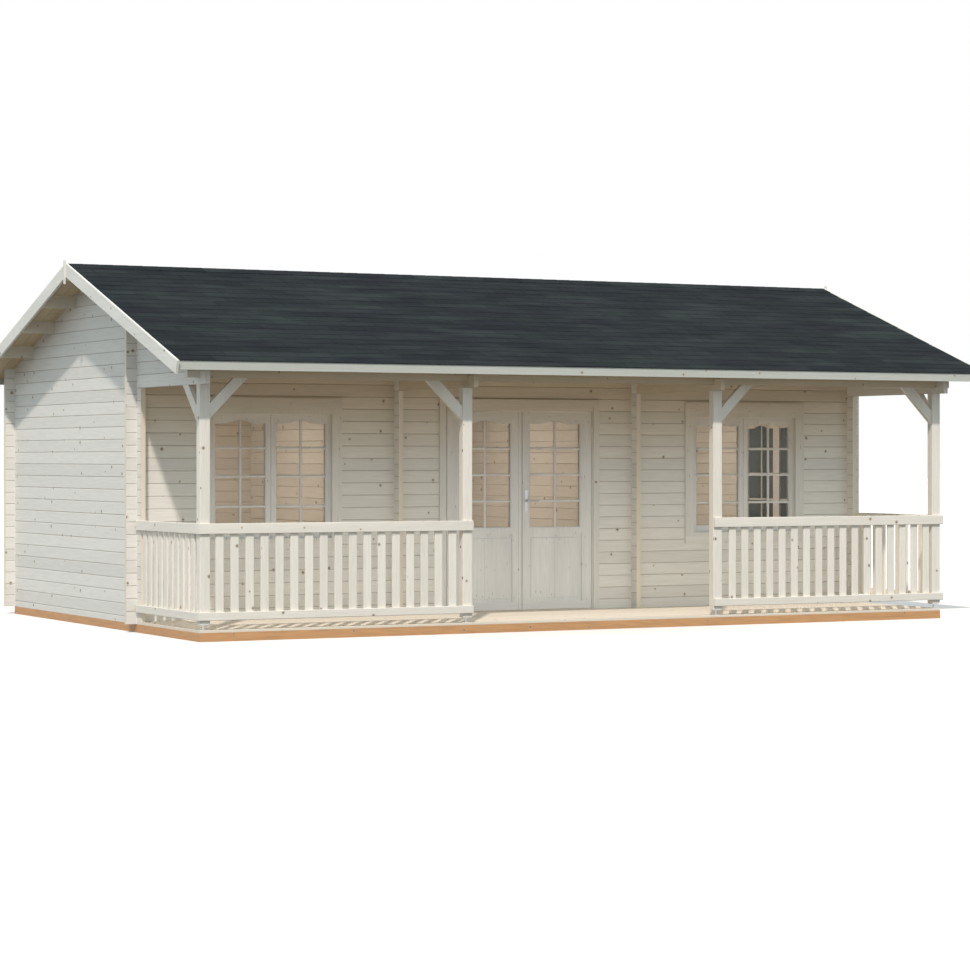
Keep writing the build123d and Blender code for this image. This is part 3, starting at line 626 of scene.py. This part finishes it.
def sawn_ends(graph, body, grained, end_on):
    """Rings and a warmer tone on the faces that look along the grain."""
    rings = graph.noise(graph.scaled(grained, END_SCALES), detail=1.0)
    rings = graph.math("PINGPONG", graph.math("MULTIPLY", rings, END_BANDS), FOLD)
    shade = graph.math("MULTIPLY_ADD", rings, END_SHADE, END_BASE)
    sawn = graph.dimmed(tuple(bpy.context.scene.cabin_wood.end_colour), shade)
    return graph.mix(graph.math("GREATER_THAN", end_on, END_FACING), body, sawn)


def wood(
    name, colour, axis, courses=None, rails=None, ends=True, shaded=False, grooves=(), knot_scale=3.6,
    knot_share=0.55, grain=1.0,
):
    """Planed softwood with its grain along one axis.

    With axis "frame" the grain follows the bearers: along Y on faces that look along X, and along X
    elsewhere. Courses is the height of a log joint, where a line of painted shade is drawn, and rails are
    two heights outside which the grain lies flat. Shaded wood has painted shade that turns it darker and
    warmer towards the roof, and grooves are places along X of a panel's groove, each drawn as a faint
    line of painted shade.
    """
    palette = bpy.context.scene.cabin_wood
    graph = material_graph(name)
    sources = graph.node("ShaderNodeTexCoord").outputs
    spot = graph.parted(sources["Object"])
    x, _, z = spot
    facing = [graph.math("ABSOLUTE", part) for part in graph.parted(sources["Normal"])]
    grained, end_on, flat = lie_of_grain(graph, axis, rails, spot, facing)
    fibres, lines, shade = growth(graph, grained, grain)
    shade = graph.math("MULTIPLY", shade, board_tone(graph, grained, z, courses))
    heart, ring = knots(graph, grained[0], flat, knot_scale, knot_share)
    # Painted shade: the wood turns darker and warmer towards the roof.
    base = roof_shaded_colour(graph, colour, x, z) if shaded else tuple(colour)
    body = graph.dimmed(base, shade)
    body = graph.mix(graph.math("MULTIPLY", ring, RING_COVER), body, rgba(palette.halo_colour))
    body = graph.mix(graph.math("MULTIPLY", heart, HEART_COVER), body, rgba(palette.knot_colour))
    # Painted shade in the joints between the log courses.
    if courses is not None:
        body = course_joint_shade(graph, body, z, courses)
    # Painted shade in the door panels' grooves.
    if grooves:
        body = panel_grooves(graph, body, x, z, grooves)
    if ends and end_on is not None:
        body = sawn_ends(graph, body, grained, end_on)
    height = graph.math("MULTIPLY_ADD", lines, GROWTH_RELIEF, graph.math("MULTIPLY", fibres, FIBRE_RELIEF))
    height = graph.math("SUBTRACT", height, graph.math("MULTIPLY", heart, HEART_RELIEF))
    bump = graph.node("ShaderNodeBump", Height=height, **WOOD_BUMP).outputs[0]
    dull = graph.ramp(fibres, *FIBRE_RANGE, *WOOD_ROUGHNESS)
    shader = graph.node("ShaderNodeBsdfPrincipled", Base_Color=body, Normal=bump, Roughness=dull)
    return graph.surface(shader)


def granules(name):
    """Bitumen shingle.

    Fine noise makes the granules. The level between dark and light is a tone for each tab plus streaks along
    the courses plus slow patches, and a second slow pattern turns the light granules from violet to
    greenish grey.
    """
    roof = bpy.context.scene.cabin_roof
    graph = material_graph(name)
    place = graph.place()
    spot = graph.parted(place)
    tone = graph.node("ShaderNodeAttribute", {"attribute_name": "tone"}).outputs["Fac"]
    patches = graph.noise(graph.scaled(spot, PATCH_SCALES))
    hues = graph.noise(graph.scaled(spot, HUE_SCALES), detail=2.0)
    streaks = graph.noise(graph.scaled(spot, STREAK_SCALES), detail=4.0, roughness=0.65)
    grains = graph.noise(place, detail=2.0, roughness=0.7, scale=GRANULE_SCALE)
    level = DARKENING
    for pattern, share in (
        (tone, TAB_SHARE), (patches, PATCH_SHARE), (streaks, STREAK_SHARE), (grains, GRANULE_SHARE)
    ):
        level = graph.math("MULTIPLY_ADD", pattern, share, level)
    light = graph.mix(graph.ramp(hues, *HUE_RANGE), rgba(roof.violet_colour), rgba(roof.light_colour))
    colour = graph.mix(level, rgba(roof.dark_colour), light)
    bump = graph.node("ShaderNodeBump", Height=grains, **GRANULE_BUMP).outputs[0]
    shader = graph.node(
        "ShaderNodeBsdfPrincipled", Base_Color=colour, Normal=bump, Roughness=GRANULE_ROUGHNESS,
        Specular_IOR_Level=GRANULE_GLOSS,
    )
    return graph.surface(shader)


def pane(name):
    """Clear glass as a thin see-through film with mirror gloss and faint smears in its roughness."""
    graph = material_graph(name)
    smears = graph.noise(graph.place(), roughness=0.5, scale=SMEAR_SCALE)
    sheen = graph.node("ShaderNodeFresnel", IOR=GLASS_BEND).outputs[0]
    shader = graph.node(
        "ShaderNodeBsdfPrincipled", Base_Color=rgba(bpy.context.scene.cabin_glazing.glass_colour),
        Alpha=graph.ramp(sheen, 0.0, 1.0, *GLASS_COVER),
        Roughness=graph.ramp(smears, *SMEAR_RANGE, *GLASS_ROUGHNESS), Specular_IOR_Level=1.0,
    )
    return graph.surface(shader)


def steel(name, colour):
    """Brushed or galvanised steel with a fine cloudy variation in its gloss."""
    dull = [bpy.context.scene.cabin_metal.roughness + part for part in CLOUD_DULLING]
    graph = material_graph(name)
    clouds = graph.noise(graph.place(), detail=4.0, roughness=0.5, scale=CLOUD_SCALE)
    tint = graph.mix(clouds, rgba([part * CLOUD_SHADE for part in colour]), rgba(colour))
    shader = graph.node(
        "ShaderNodeBsdfPrincipled", Base_Color=tint, Metallic=1.0,
        Roughness=graph.ramp(clouds, *CLOUD_RANGE, *dull),
    )
    return graph.surface(shader)


def finish_nodes(material, *names):
    """Gives CAD nodes a material."""
    for name in names:
        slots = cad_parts[name].data.materials
        slots.clear()
        slots.append(material)


# Pieces

NO_ENDS = {"ends": False}
# Options for wood with painted shade that darkens and warms it towards the roof.
ROOF_SHADED = {"shaded": True}
ROOF_SHADED_NO_ENDS = {**NO_ENDS, **ROOF_SHADED}
BEARER_GRAIN = {"knot_scale": 4.6, "knot_share": 0.7, "grain": 2.4}
JOINERY_KNOT_SHARE = 0.35
SHINGLE_SEED = 11
RIDGE_SEED = 5
COURSE_DRIFT_SHARE = 0.04
OWN_TONE_SHARE = 0.65


class CABIN_OT_logs(bpy.types.Operator):
    """Finish the log walls, headers and the front beam"""

    bl_idname = "cabin.logs"
    bl_label = "Log walls"

    def execute(self, context):
        palette = context.scene.cabin_wood
        base = {"x": palette.wall_base, "y": palette.wall_base - palette.log_height / 2}
        long_walls = ("front_wall_left", "front_wall_right", "front_wall_over_door", "rear_wall")
        cross_walls = ("left_gable_wall", "right_gable_wall", "left_partition", "right_partition")
        for name, axis, options, nodes in (
            ("long", "x", ROOF_SHADED, long_walls),
            ("cross", "y", {}, cross_walls),
            ("header", "y", NO_ENDS, ("left_header", "right_header")),
            ("inner", "y", ROOF_SHADED_NO_ENDS, ("left_inner_header", "right_inner_header")),
            ("beam", "x", ROOF_SHADED_NO_ENDS, ("front_beam",)),
        ):
            logs = wood("spruce_logs_" + name, palette.log_colour, axis, courses=base[axis], **options)
            finish_nodes(logs, *nodes)
        return {"FINISHED"}


class CABIN_OT_timbers(bpy.types.Operator):
    """Finish the posts, braces, purlins, bearers, trim and door frame"""

    bl_idname = "cabin.timbers"
    bl_label = "Timbers and trim"

    def execute(self, context):
        palette = context.scene.cabin_wood
        trim = palette.trim_colour
        flat_ends = {"rails": context.scene.cabin_glazing.frame_levels, **ROOF_SHADED_NO_ENDS}
        posts = ("corner_posts", "middle_posts", "knee_braces")
        purlins = ("ridge_purlin", "front_purlins", "rear_purlins")
        bearers = ("cabin_bearers", "veranda_bearers")
        for name, colour, axis, options, nodes in (
            ("spruce_posts", palette.frame_colour, "z", {}, posts),
            # Purlins in a darker spruce: painted shade under the overhangs.
            ("spruce_purlins", palette.purlin_shade_colour, "x", NO_ENDS, purlins),
            ("spruce_fascias", palette.fascia_colour, "x", NO_ENDS, ("front_fascia", "rear_fascia")),
            ("spruce_door_head", trim, "x", ROOF_SHADED_NO_ENDS, ("door_head",)),
            ("spruce_barges", trim, "y", NO_ENDS, ("left_barge_boards", "right_barge_boards")),
            ("spruce_frames", trim, "z", flat_ends, ("window_frames",)),
            ("spruce_jambs", trim, "z", ROOF_SHADED, ("door_jamb_left", "door_jamb_right")),
            ("spruce_apex", trim, "z", {}, ("apex_plates",)),
            ("impregnated_bearers", palette.bearer_colour, "frame", BEARER_GRAIN, bearers),
            ("threshold_wood", palette.floor_colour, "x", {}, ("door_threshold",)),
        ):
            finish_nodes(wood(name, colour, axis, **options), *nodes)
        return {"FINISHED"}


class CABIN_OT_joinery(bpy.types.Operator):
    """Finish the door leaves and casements, and add their glazing bars"""

    bl_idname = "cabin.joinery"
    bl_label = "Door and windows"

    def execute(self, context):
        colour = context.scene.cabin_wood.joinery_colour
        sizes = context.scene.cabin_glazing
        finish_nodes(pane("clear_panes"), "window_glass", "left_door_glass", "right_door_glass")
        bed = sizes.bar_depth / 2 - sizes.bar_bed
        common = {"rails": sizes.rail_levels, "knot_share": JOINERY_KNOT_SHARE, **ROOF_SHADED_NO_ENDS}
        lights = {side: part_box(side + "_glass") for side in (LEFT_DOOR, RIGHT_DOOR)}
        grooves = [(low[0] + high[0]) / 2 for low, high in lights.values()]
        leaf_wood = wood("spruce_leaves", colour, "z", grooves=grooves, **common)
        finish_nodes(leaf_wood, "left_door_leaf", "right_door_leaf")
        for side, (low, high) in lights.items():
            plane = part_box(side + "_leaf")[1][1] - sizes.leaf_thickness + bed
            heights = (sizes.door_sill, sizes.door_crown)
            surface = self.lattice((low[0], high[0]), plane, heights, sizes.door_levels)
            add_piece(side + "_bars", surface, leaf_wood, side)
        casement_wood = wood("spruce_casements", colour, "z", **common)
        finish_nodes(casement_wood, "window_casements")
        low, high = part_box("window_casements")
        front = [self.window(centre, low[1] + bed) for centre in sizes.window_centres]
        add_piece("front_window_bars", merged(*front), casement_wood)
        points, faces = self.window(sizes.side_centre, 0.0)
        turned = np.stack([high[0] - bed - points[:, 1], points[:, 0], points[:, 2]], -1)
        add_piece("side_window_bars", (turned, faces), casement_wood)
        return {"FINISHED"}

    def window(self, centre, plane):
        """The bars of two casements side by side about a middle."""
        sizes = bpy.context.scene.cabin_glazing
        half = sizes.casement_width / 2 - sizes.stile_width
        away = (sizes.casement_gap + sizes.casement_width) / 2
        panes = []
        for middle in (centre - away, centre + away):
            width, heights = (middle - half, middle + half), (sizes.sill, sizes.crown)
            panes.append(self.lattice(width, plane, heights, sizes.window_levels))
        return merged(*panes)

    def lattice(self, width, plane, heights, levels):
        """One upright bar in the middle of a pane and cross bars at the set levels, in one plane of Y."""
        sizes = bpy.context.scene.cabin_glazing
        section = board_profile(sizes.bar_width, sizes.bar_depth, sizes.bar_bevel)
        middle = sum(width) / 2
        upright = bars([(middle, plane, heights[0])], [(middle, plane, heights[1])], ALONG_X, section)
        starts, ends = (row_of_points(len(levels), edge, plane, np.array(levels)) for edge in width)
        return merged(upright, bars(starts, ends, ALONG_Z, section))


class CABIN_OT_metal(bpy.types.Operator):
    """Finish the post feet and the door handle"""

    bl_idname = "cabin.metal"
    bl_label = "Metal parts"

    def execute(self, context):
        metal = context.scene.cabin_metal
        finish_nodes(steel("galvanised_feet", metal.feet_colour), "post_feet")
        finish_nodes(steel("satin_handle", metal.handle_colour), "door_handle")
        return {"FINISHED"}


class CABIN_OT_railings(bpy.types.Operator):
    """Build the railings from planed rails and balusters"""

    bl_idname = "cabin.railings"
    bl_label = "Railings"

    def execute(self, context):
        colour = context.scene.cabin_wood.frame_colour
        sizes = context.scene.cabin_veranda
        upright = wood("spruce_balusters", colour, "z")
        for name, axis in (
            ("left_front_railing", 0), ("right_front_railing", 0), ("left_side_railing", 1),
            ("right_side_railing", 1),
        ):
            low, high = box_of(name)
            level = wood(name + "_wood", colour, "xy"[axis], ends=False)
            rails = self.rails(low, high, axis, sizes)
            add_piece(name + "_rails", rails, level, stands_for=(name,))
            balusters = self.balusters(low, high, axis, sizes)
            add_piece(name + "_balusters", balusters, upright)
        return {"FINISHED"}

    def planes(self, low, high, axis, sizes):
        """Middle of the rails across the panel, and of the balusters behind them."""
        across = 1 - axis
        outer, inner, way = low[across], high[across], 1
        if axis == 1 and low[0] > 0:
            outer, inner, way = inner, outer, -1
        rail = outer + way * (sizes.rail_inset + sizes.rail_thickness / 2)
        return rail, inner - way * sizes.baluster_thickness / 2

    def rails(self, low, high, axis, sizes):
        """The two rails: bevelled boards from one end of the panel to the other."""
        plane, _ = self.planes(low, high, axis, sizes)
        trims = (sizes.rail_inset, 0.0) if axis == 1 or low[0] < 0 else (0.0, sizes.rail_inset)
        parts = []
        for level, height in (
            (high[2] - sizes.top_rail / 2, sizes.top_rail),
            (low[2] + sizes.bottom_rail / 2, sizes.bottom_rail),
        ):
            start, end = np.full(3, plane), np.full(3, plane)
            start[axis], end[axis] = low[axis] + trims[0], high[axis] - trims[1]
            start[2] = end[2] = level
            section = board_profile(height, sizes.rail_thickness, sizes.edge_bevel)
            parts.append(bars([start], [end], ALONG_Z, section))
        return merged(*parts)

    def balusters(self, low, high, axis, sizes):
        """Upright boards that divide the clear length between the posts with equal gaps."""
        _, plane = self.planes(low, high, axis, sizes)
        if axis == 0:
            side = np.sign(low[0] + high[0])
            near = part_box("middle_posts")[1][0] + sizes.inner_reach
            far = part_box("corner_posts")[1][0] - sizes.post_width + sizes.outer_reach
            clear = sorted((side * near + sizes.panel_shift, side * far + sizes.panel_shift))
            count = sizes.front_count
        else:
            clear = (low[1] + sizes.post_depth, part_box("left_gable_wall")[0][1])
            count = sizes.side_count
        starts = np.full((count, 3), plane)
        starts[:, axis] = spaced(*clear, count, sizes.baluster_width)
        ends = starts.copy()
        starts[:, 2] = low[2] + sizes.baluster_drop
        ends[:, 2] = high[2] - sizes.baluster_drop
        section = board_profile(sizes.baluster_width, sizes.baluster_thickness, sizes.edge_bevel)
        return bars(starts, ends, (ALONG_X, ALONG_Y)[axis], section)


class CABIN_OT_floors(bpy.types.Operator):
    """Lay the deck and the floor as single boards"""

    bl_idname = "cabin.floors"
    bl_label = "Deck and floor boards"

    def execute(self, context):
        sizes = context.scene.cabin_veranda
        timber = wood("spruce_boards", context.scene.cabin_wood.floor_colour, "x")
        low, high = box_of("veranda_deck")
        heights = (low[2], high[2])
        logs_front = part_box("left_gable_wall")[0][1]
        deck = self.boards((low[0], high[0]), (low[1], logs_front), heights, sizes.deck_board, sizes)
        strip = (logs_front, high[1])
        strips = [self.boards(room, strip, heights, strip[1] - strip[0], sizes) for room in rooms()]
        add_piece("deck_boards", merged(deck, *strips), timber, stands_for=("veranda_deck",))
        low, high = box_of("cabin_floor")
        depth, heights = (low[1], high[1]), (low[2], high[2])
        floors = [self.boards(room, depth, heights, sizes.floor_board, sizes) for room in rooms()]
        add_piece("floor_boards", merged(*floors), timber, stands_for=("cabin_floor",))
        return {"FINISHED"}

    def boards(self, span, depth, heights, board, sizes):
        """Boards of about one width along X, side by side over a depth, with a gap between neighbours."""
        count = round((depth[1] - depth[0]) / board)
        width, middles = divided(*depth, count)
        starts, ends = (row_of_points(count, edge, middles, sum(heights) / 2) for edge in span)
        section = board_profile(width - sizes.board_gap, heights[1] - heights[0], sizes.board_bevel)
        return bars(starts, ends, ALONG_Y, section)


class CABIN_OT_roof(bpy.types.Operator):
    """Board the roof, lay the shingles and fold the ridge"""

    bl_idname = "cabin.roof"
    bl_label = "Roof"

    def execute(self, context):
        roof = context.scene.cabin_roof
        # Roof boards in a darker spruce: painted shade under the roof.
        soffit = wood("spruce_roof_boards", context.scene.cabin_wood.soffit_shade_colour, "y")
        shingle = granules("slate_granules")
        for side, name in ((-1, "front"), (1, "rear")):
            boarding = name + "_roof_boards"
            surface = self.roof_boards(side, boarding, roof)
            add_piece(name + "_boarding", surface, soffit, stands_for=(boarding,))
            shingles = name + "_shingles"
            surface, tones = self.shingles(side, shingles, roof)
            add_piece(name + "_tabs", surface, shingle, stands_for=(shingles,), tones=tones)
        surface, tones = self.ridge(roof)
        add_piece("ridge_tabs", surface, shingle, stands_for=("ridge_cap",), tones=tones)
        return {"FINISHED"}

    def slope(self, node):
        """Both corners of a roof layer's box, and how far the layer reaches from the ridge along Y."""
        low, high = box_of(node)
        return low, high, max(abs(low[1]), abs(high[1]))

    def roof_boards(self, side, node, roof):
        """Boards down the slope, side by side along X, with bevelled lower edges."""
        low, high, reach = self.slope(node)
        count = round((high[0] - low[0]) / roof.board_width)
        width, middles = divided(low[0], high[0], count)
        top = high[2] - roof.board_thickness / math.cos(roof.pitch) / 2
        starts = row_of_points(count, middles, 0.0, top)
        ends = row_of_points(count, middles, side * reach, top - reach * math.tan(roof.pitch))
        half, deep, vee = width / 2, roof.board_thickness / 2, roof.board_vee
        section = np.array([(half - vee, -deep), (half, vee - deep), (half, deep)])
        section = np.concatenate([section, section[::-1] * (-1, 1)])
        if side > 0:
            section = section[::-1] * (1, -1)
        return bars(starts, ends, ALONG_X, section)

    def shingles(self, side, node, roof):
        """Shingle tabs in courses on a sheet of felt.

        A tab is a flat board on the slope whose lower edge is lifted. Every second course is moved by half a
        tab, and each tab has its own lift, lower edge and tone. The felt is one more such board, as large as
        the slope.
        """
        low, high, reach = self.slope(node)
        pitch = roof.pitch
        length = reach / math.cos(pitch)
        apex = np.array((0.0, 0.0, high[2] - roof.layer / math.cos(pitch)))
        courses = math.ceil(length / roof.exposure)
        exposure = length / courses
        columns = math.ceil((high[0] - low[0]) / roof.tab_width) + 1
        rng = np.random.default_rng(SHINGLE_SEED + side)
        grid = np.meshgrid(np.arange(courses), np.arange(columns), indexing="ij")
        row, column = (part.ravel() for part in grid)
        drift = rng.uniform(-COURSE_DRIFT_SHARE, COURSE_DRIFT_SHARE, courses)[row]
        start = low[0] + (column - np.where(row % 2 == 0, 0.0, 0.5) - drift) * roof.tab_width
        left = np.clip(start + roof.tab_gap / 2, low[0], high[0])
        right = np.clip(start + roof.tab_width - roof.tab_gap / 2, low[0], high[0])
        keep = right - left > roof.headlap / 2
        row, left, right = row[keep], left[keep], right[keep]
        tabs = len(row)
        lower = (row + 1) * exposure + rng.uniform(-roof.tab_stagger, roof.tab_stagger, tabs)
        lower = np.append(np.minimum(lower, length), length)
        upper = np.append(np.maximum(row * exposure - roof.headlap, 0.0), 0.0)
        lift = roof.felt + roof.tab_thickness + roof.tab_lift * rng.uniform(1.0, 2.0, tabs)
        lift = np.append(lift, 0.0)
        flat = np.append(np.full(tabs, roof.felt), 0.0)
        thick = np.append(np.full(tabs, roof.tab_thickness), roof.felt)
        left, right = np.append(left, low[0]), np.append(right, high[0])
        down = np.array((0.0, side * math.cos(pitch), -math.sin(pitch)))
        normal = np.array((0.0, side * math.sin(pitch), math.cos(pitch)))
        corners = []
        for layer in (0.0, thick):
            for x, along, rise in (
                (left, upper, flat), (right, upper, flat), (right, lower, lift), (left, lower, lift)
            ):
                point = apex + along[:, None] * down + (rise + layer)[:, None] * normal
                corners.append(point + x[:, None] * ALONG_X)
        points = np.stack(corners, 1).reshape(-1, 3)
        faces = [(0, 1, 2, 3), (7, 6, 5, 4), (3, 2, 6, 7), (1, 0, 4, 5), (0, 3, 7, 4), (2, 1, 5, 6)]
        turned = np.array(faces)[:, ::-side]
        quads = (np.arange(tabs + 1)[:, None, None] * len(corners) + turned).reshape(-1, 4)
        dice = np.append(rng.uniform(0.0, 1.0, tabs), 0.0)
        tones = OWN_TONE_SHARE * dice + (1.0 - OWN_TONE_SHARE) * np.roll(dice, 1)
        return (points, quads.tolist()), np.repeat(tones, len(faces))

    def ridge(self, roof):
        """Folded tabs over the ridge, each lapping the one before: a chevron section along X, tilted."""
        low, high = box_of("ridge_cap")
        wing = high[1]
        fall = wing * math.tan(roof.pitch)
        under = np.array([(-wing, -fall), (0.0, 0.0), (wing, -fall)])
        section = np.concatenate([under, under[::-1] + (0.0, roof.ridge_thickness)])
        count = round((high[0] - low[0]) / roof.exposure)
        length, middles = divided(low[0], high[0], count)
        tails = np.maximum(middles - length / 2 - roof.headlap, low[0])
        top = high[2] - roof.ridge_bed
        starts = row_of_points(count, tails, 0.0, top)
        ends = row_of_points(count, middles + length / 2, 0.0, top + roof.ridge_lift)
        tones = np.random.default_rng(RIDGE_SEED).uniform(0.0, 1.0, count)
        tones = np.concatenate([np.repeat(tones, len(section)), tones, tones])
        return bars(starts, ends, ALONG_Y, section), tones


class CABIN_OT_stage(bpy.types.Operator):
    """Set the floor, the light and the camera"""

    bl_idname = "cabin.stage"
    bl_label = "Stage"

    def execute(self, context):
        settings = context.scene.cabin_stage
        context.scene.view_settings.view_transform = "Standard"
        self.floor(settings)
        self.sky(context.scene, settings)
        sun = bpy.data.lights.new("key_sun", "SUN")
        sun.energy = settings.sun_strength
        sun.color = settings.sun_colour
        sun.angle = settings.sun_size
        lamp = bpy.data.objects.new("key_sun", sun)
        lamp.rotation_euler = Vector(settings.sun_direction).to_track_quat("-Z", "Y").to_euler()
        context.scene.collection.objects.link(lamp)
        self.fills(settings)
        camera = bpy.data.cameras.new("photo_camera")
        camera.lens = settings.lens
        camera.sensor_width = settings.sensor
        camera.shift_y = settings.camera_shift
        camera.clip_end = settings.view_distance
        view = bpy.data.objects.new("photo_camera", camera)
        view.location = settings.camera_place
        view.rotation_euler = (RIGHT_ANGLE, 0.0, settings.camera_turn)
        context.scene.collection.objects.link(view)
        context.scene.camera = view
        return {"FINISHED"}

    def fills(self, settings):
        """The lamps in the rooms, the fill behind the veranda's posts and the fill beside the gable."""
        across, depth, height = settings.room_lamp
        size = (settings.room_size, settings.room_size)
        turn = (0.0, 0.0, 0.0)
        for room in rooms():
            place = (sum(room) / 2 + across, depth, height)
            self.soft_lamp("room_lamp", place, turn, size, settings.room_light, settings.room_colour)
        low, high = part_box("veranda_deck")
        place = ((low[0] + high[0]) / 2, low[1] + settings.veranda_inset, settings.veranda_height)
        size = (rooms()[2][1] - rooms()[0][0], settings.veranda_size)
        turn = (RIGHT_ANGLE, 0.0, 0.0)
        self.soft_lamp("veranda_lamp", place, turn, size, settings.veranda_light, settings.veranda_colour)
        low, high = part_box("left_gable_wall")
        place = (low[0] - settings.side_distance, low[1], high[2])
        size = (settings.side_size, settings.side_size)
        turn = (RIGHT_ANGLE, 0.0, -RIGHT_ANGLE)
        self.soft_lamp("side_lamp", place, turn, size, settings.side_light, settings.side_colour)

    def soft_lamp(self, name, place, turn, size, power, colour):
        """A wide soft lamp, itself unseen."""
        light = bpy.data.lights.new(name, "AREA")
        light.shape = "RECTANGLE"
        light.size, light.size_y = size
        light.energy = power
        light.color = colour
        lamp = bpy.data.objects.new(name, light)
        lamp.location = place
        lamp.rotation_euler = turn
        lamp.visible_camera = False
        lamp.visible_glossy = False
        lamp.visible_transmission = False
        bpy.context.scene.collection.objects.link(lamp)

    def floor(self, settings):
        """A wide flat sheet under the bearers, pale where it is seen and darker as a source of light."""
        corners = np.array([(-1, -1), (1, -1), (1, 1), (-1, 1)]) * settings.floor_reach
        points = row_of_points(len(corners), *corners.T, -settings.floor_gap)
        mesh = bpy.data.meshes.new("studio_floor")
        mesh.from_pydata(points.tolist(), [], [(0, 1, 2, 3)])
        graph = material_graph("studio_floor")
        colour = graph.mix(graph.backdrop_seen(), rgba(settings.bounce_colour), rgba(settings.floor_colour))
        shader = graph.node("ShaderNodeBsdfPrincipled", Base_Color=colour, Roughness=FLOOR_ROUGHNESS)
        mesh.materials.append(graph.surface(shader))
        floor = bpy.data.objects.new("studio_floor", mesh)
        bpy.context.scene.collection.objects.link(floor)

    def sky(self, scene, settings):
        """A world that is white where it is seen and has the set colour and strength as light."""
        scene.world = bpy.data.worlds.new("studio_sky")
        graph = Graph(scene.world, "ShaderNodeOutputWorld")
        seen = graph.backdrop_seen()
        colour = graph.mix(seen, rgba(settings.sky_colour), (1.0, 1.0, 1.0, 1.0))
        strength = graph.ramp(seen, 0.0, 1.0, settings.sky_strength, 1.0)
        graph.surface(graph.node("ShaderNodeBackground", Color=colour, Strength=strength))


OPERATORS = (
    CABIN_OT_stage,
    CABIN_OT_logs,
    CABIN_OT_timbers,
    CABIN_OT_joinery,
    CABIN_OT_metal,
    CABIN_OT_railings,
    CABIN_OT_floors,
    CABIN_OT_roof,
)
GROUPS = {
    "cabin_wood": CabinWood,
    "cabin_roof": CabinRoof,
    "cabin_veranda": CabinVeranda,
    "cabin_glazing": CabinGlazing,
    "cabin_metal": CabinMetal,
    "cabin_stage": CabinStage,
}


class CABIN_PT_pieces(bpy.types.Panel):
    """Lists the cabin's pieces with the sizes and colours that they use"""

    bl_idname = "CABIN_PT_pieces"
    bl_label = "Log cabin"
    bl_space_type = "VIEW_3D"
    bl_region_type = "UI"
    bl_category = "Cabin"

    def draw(self, context):
        for operator in OPERATORS:
            self.layout.operator(operator.bl_idname)
        for name, group in GROUPS.items():
            box = self.layout.box()
            box.label(text=group.__doc__)
            settings = getattr(context.scene, name)
            for key in group.__annotations__:
                box.prop(settings, key)


def register():
    """Registers the settings, the operators and the panel."""
    for name, group in GROUPS.items():
        bpy.utils.register_class(group)
        setattr(bpy.types.Scene, name, PointerProperty(type=group))
    for operator in OPERATORS:
        bpy.utils.register_class(operator)
    bpy.utils.register_class(CABIN_PT_pieces)


def unregister():
    """Takes them away in the opposite order."""
    bpy.utils.unregister_class(CABIN_PT_pieces)
    for operator in reversed(OPERATORS):
        bpy.utils.unregister_class(operator)
    for name, group in reversed(list(GROUPS.items())):
        delattr(bpy.types.Scene, name)
        bpy.utils.unregister_class(group)


def main():
    """Builds every piece in order."""
    register()
    bpy.ops.cabin.stage()
    bpy.ops.cabin.logs()
    bpy.ops.cabin.timbers()
    bpy.ops.cabin.joinery()
    bpy.ops.cabin.metal()
    bpy.ops.cabin.railings()
    bpy.ops.cabin.floors()
    bpy.ops.cabin.roof()


if __name__ == "__main__":
    main()
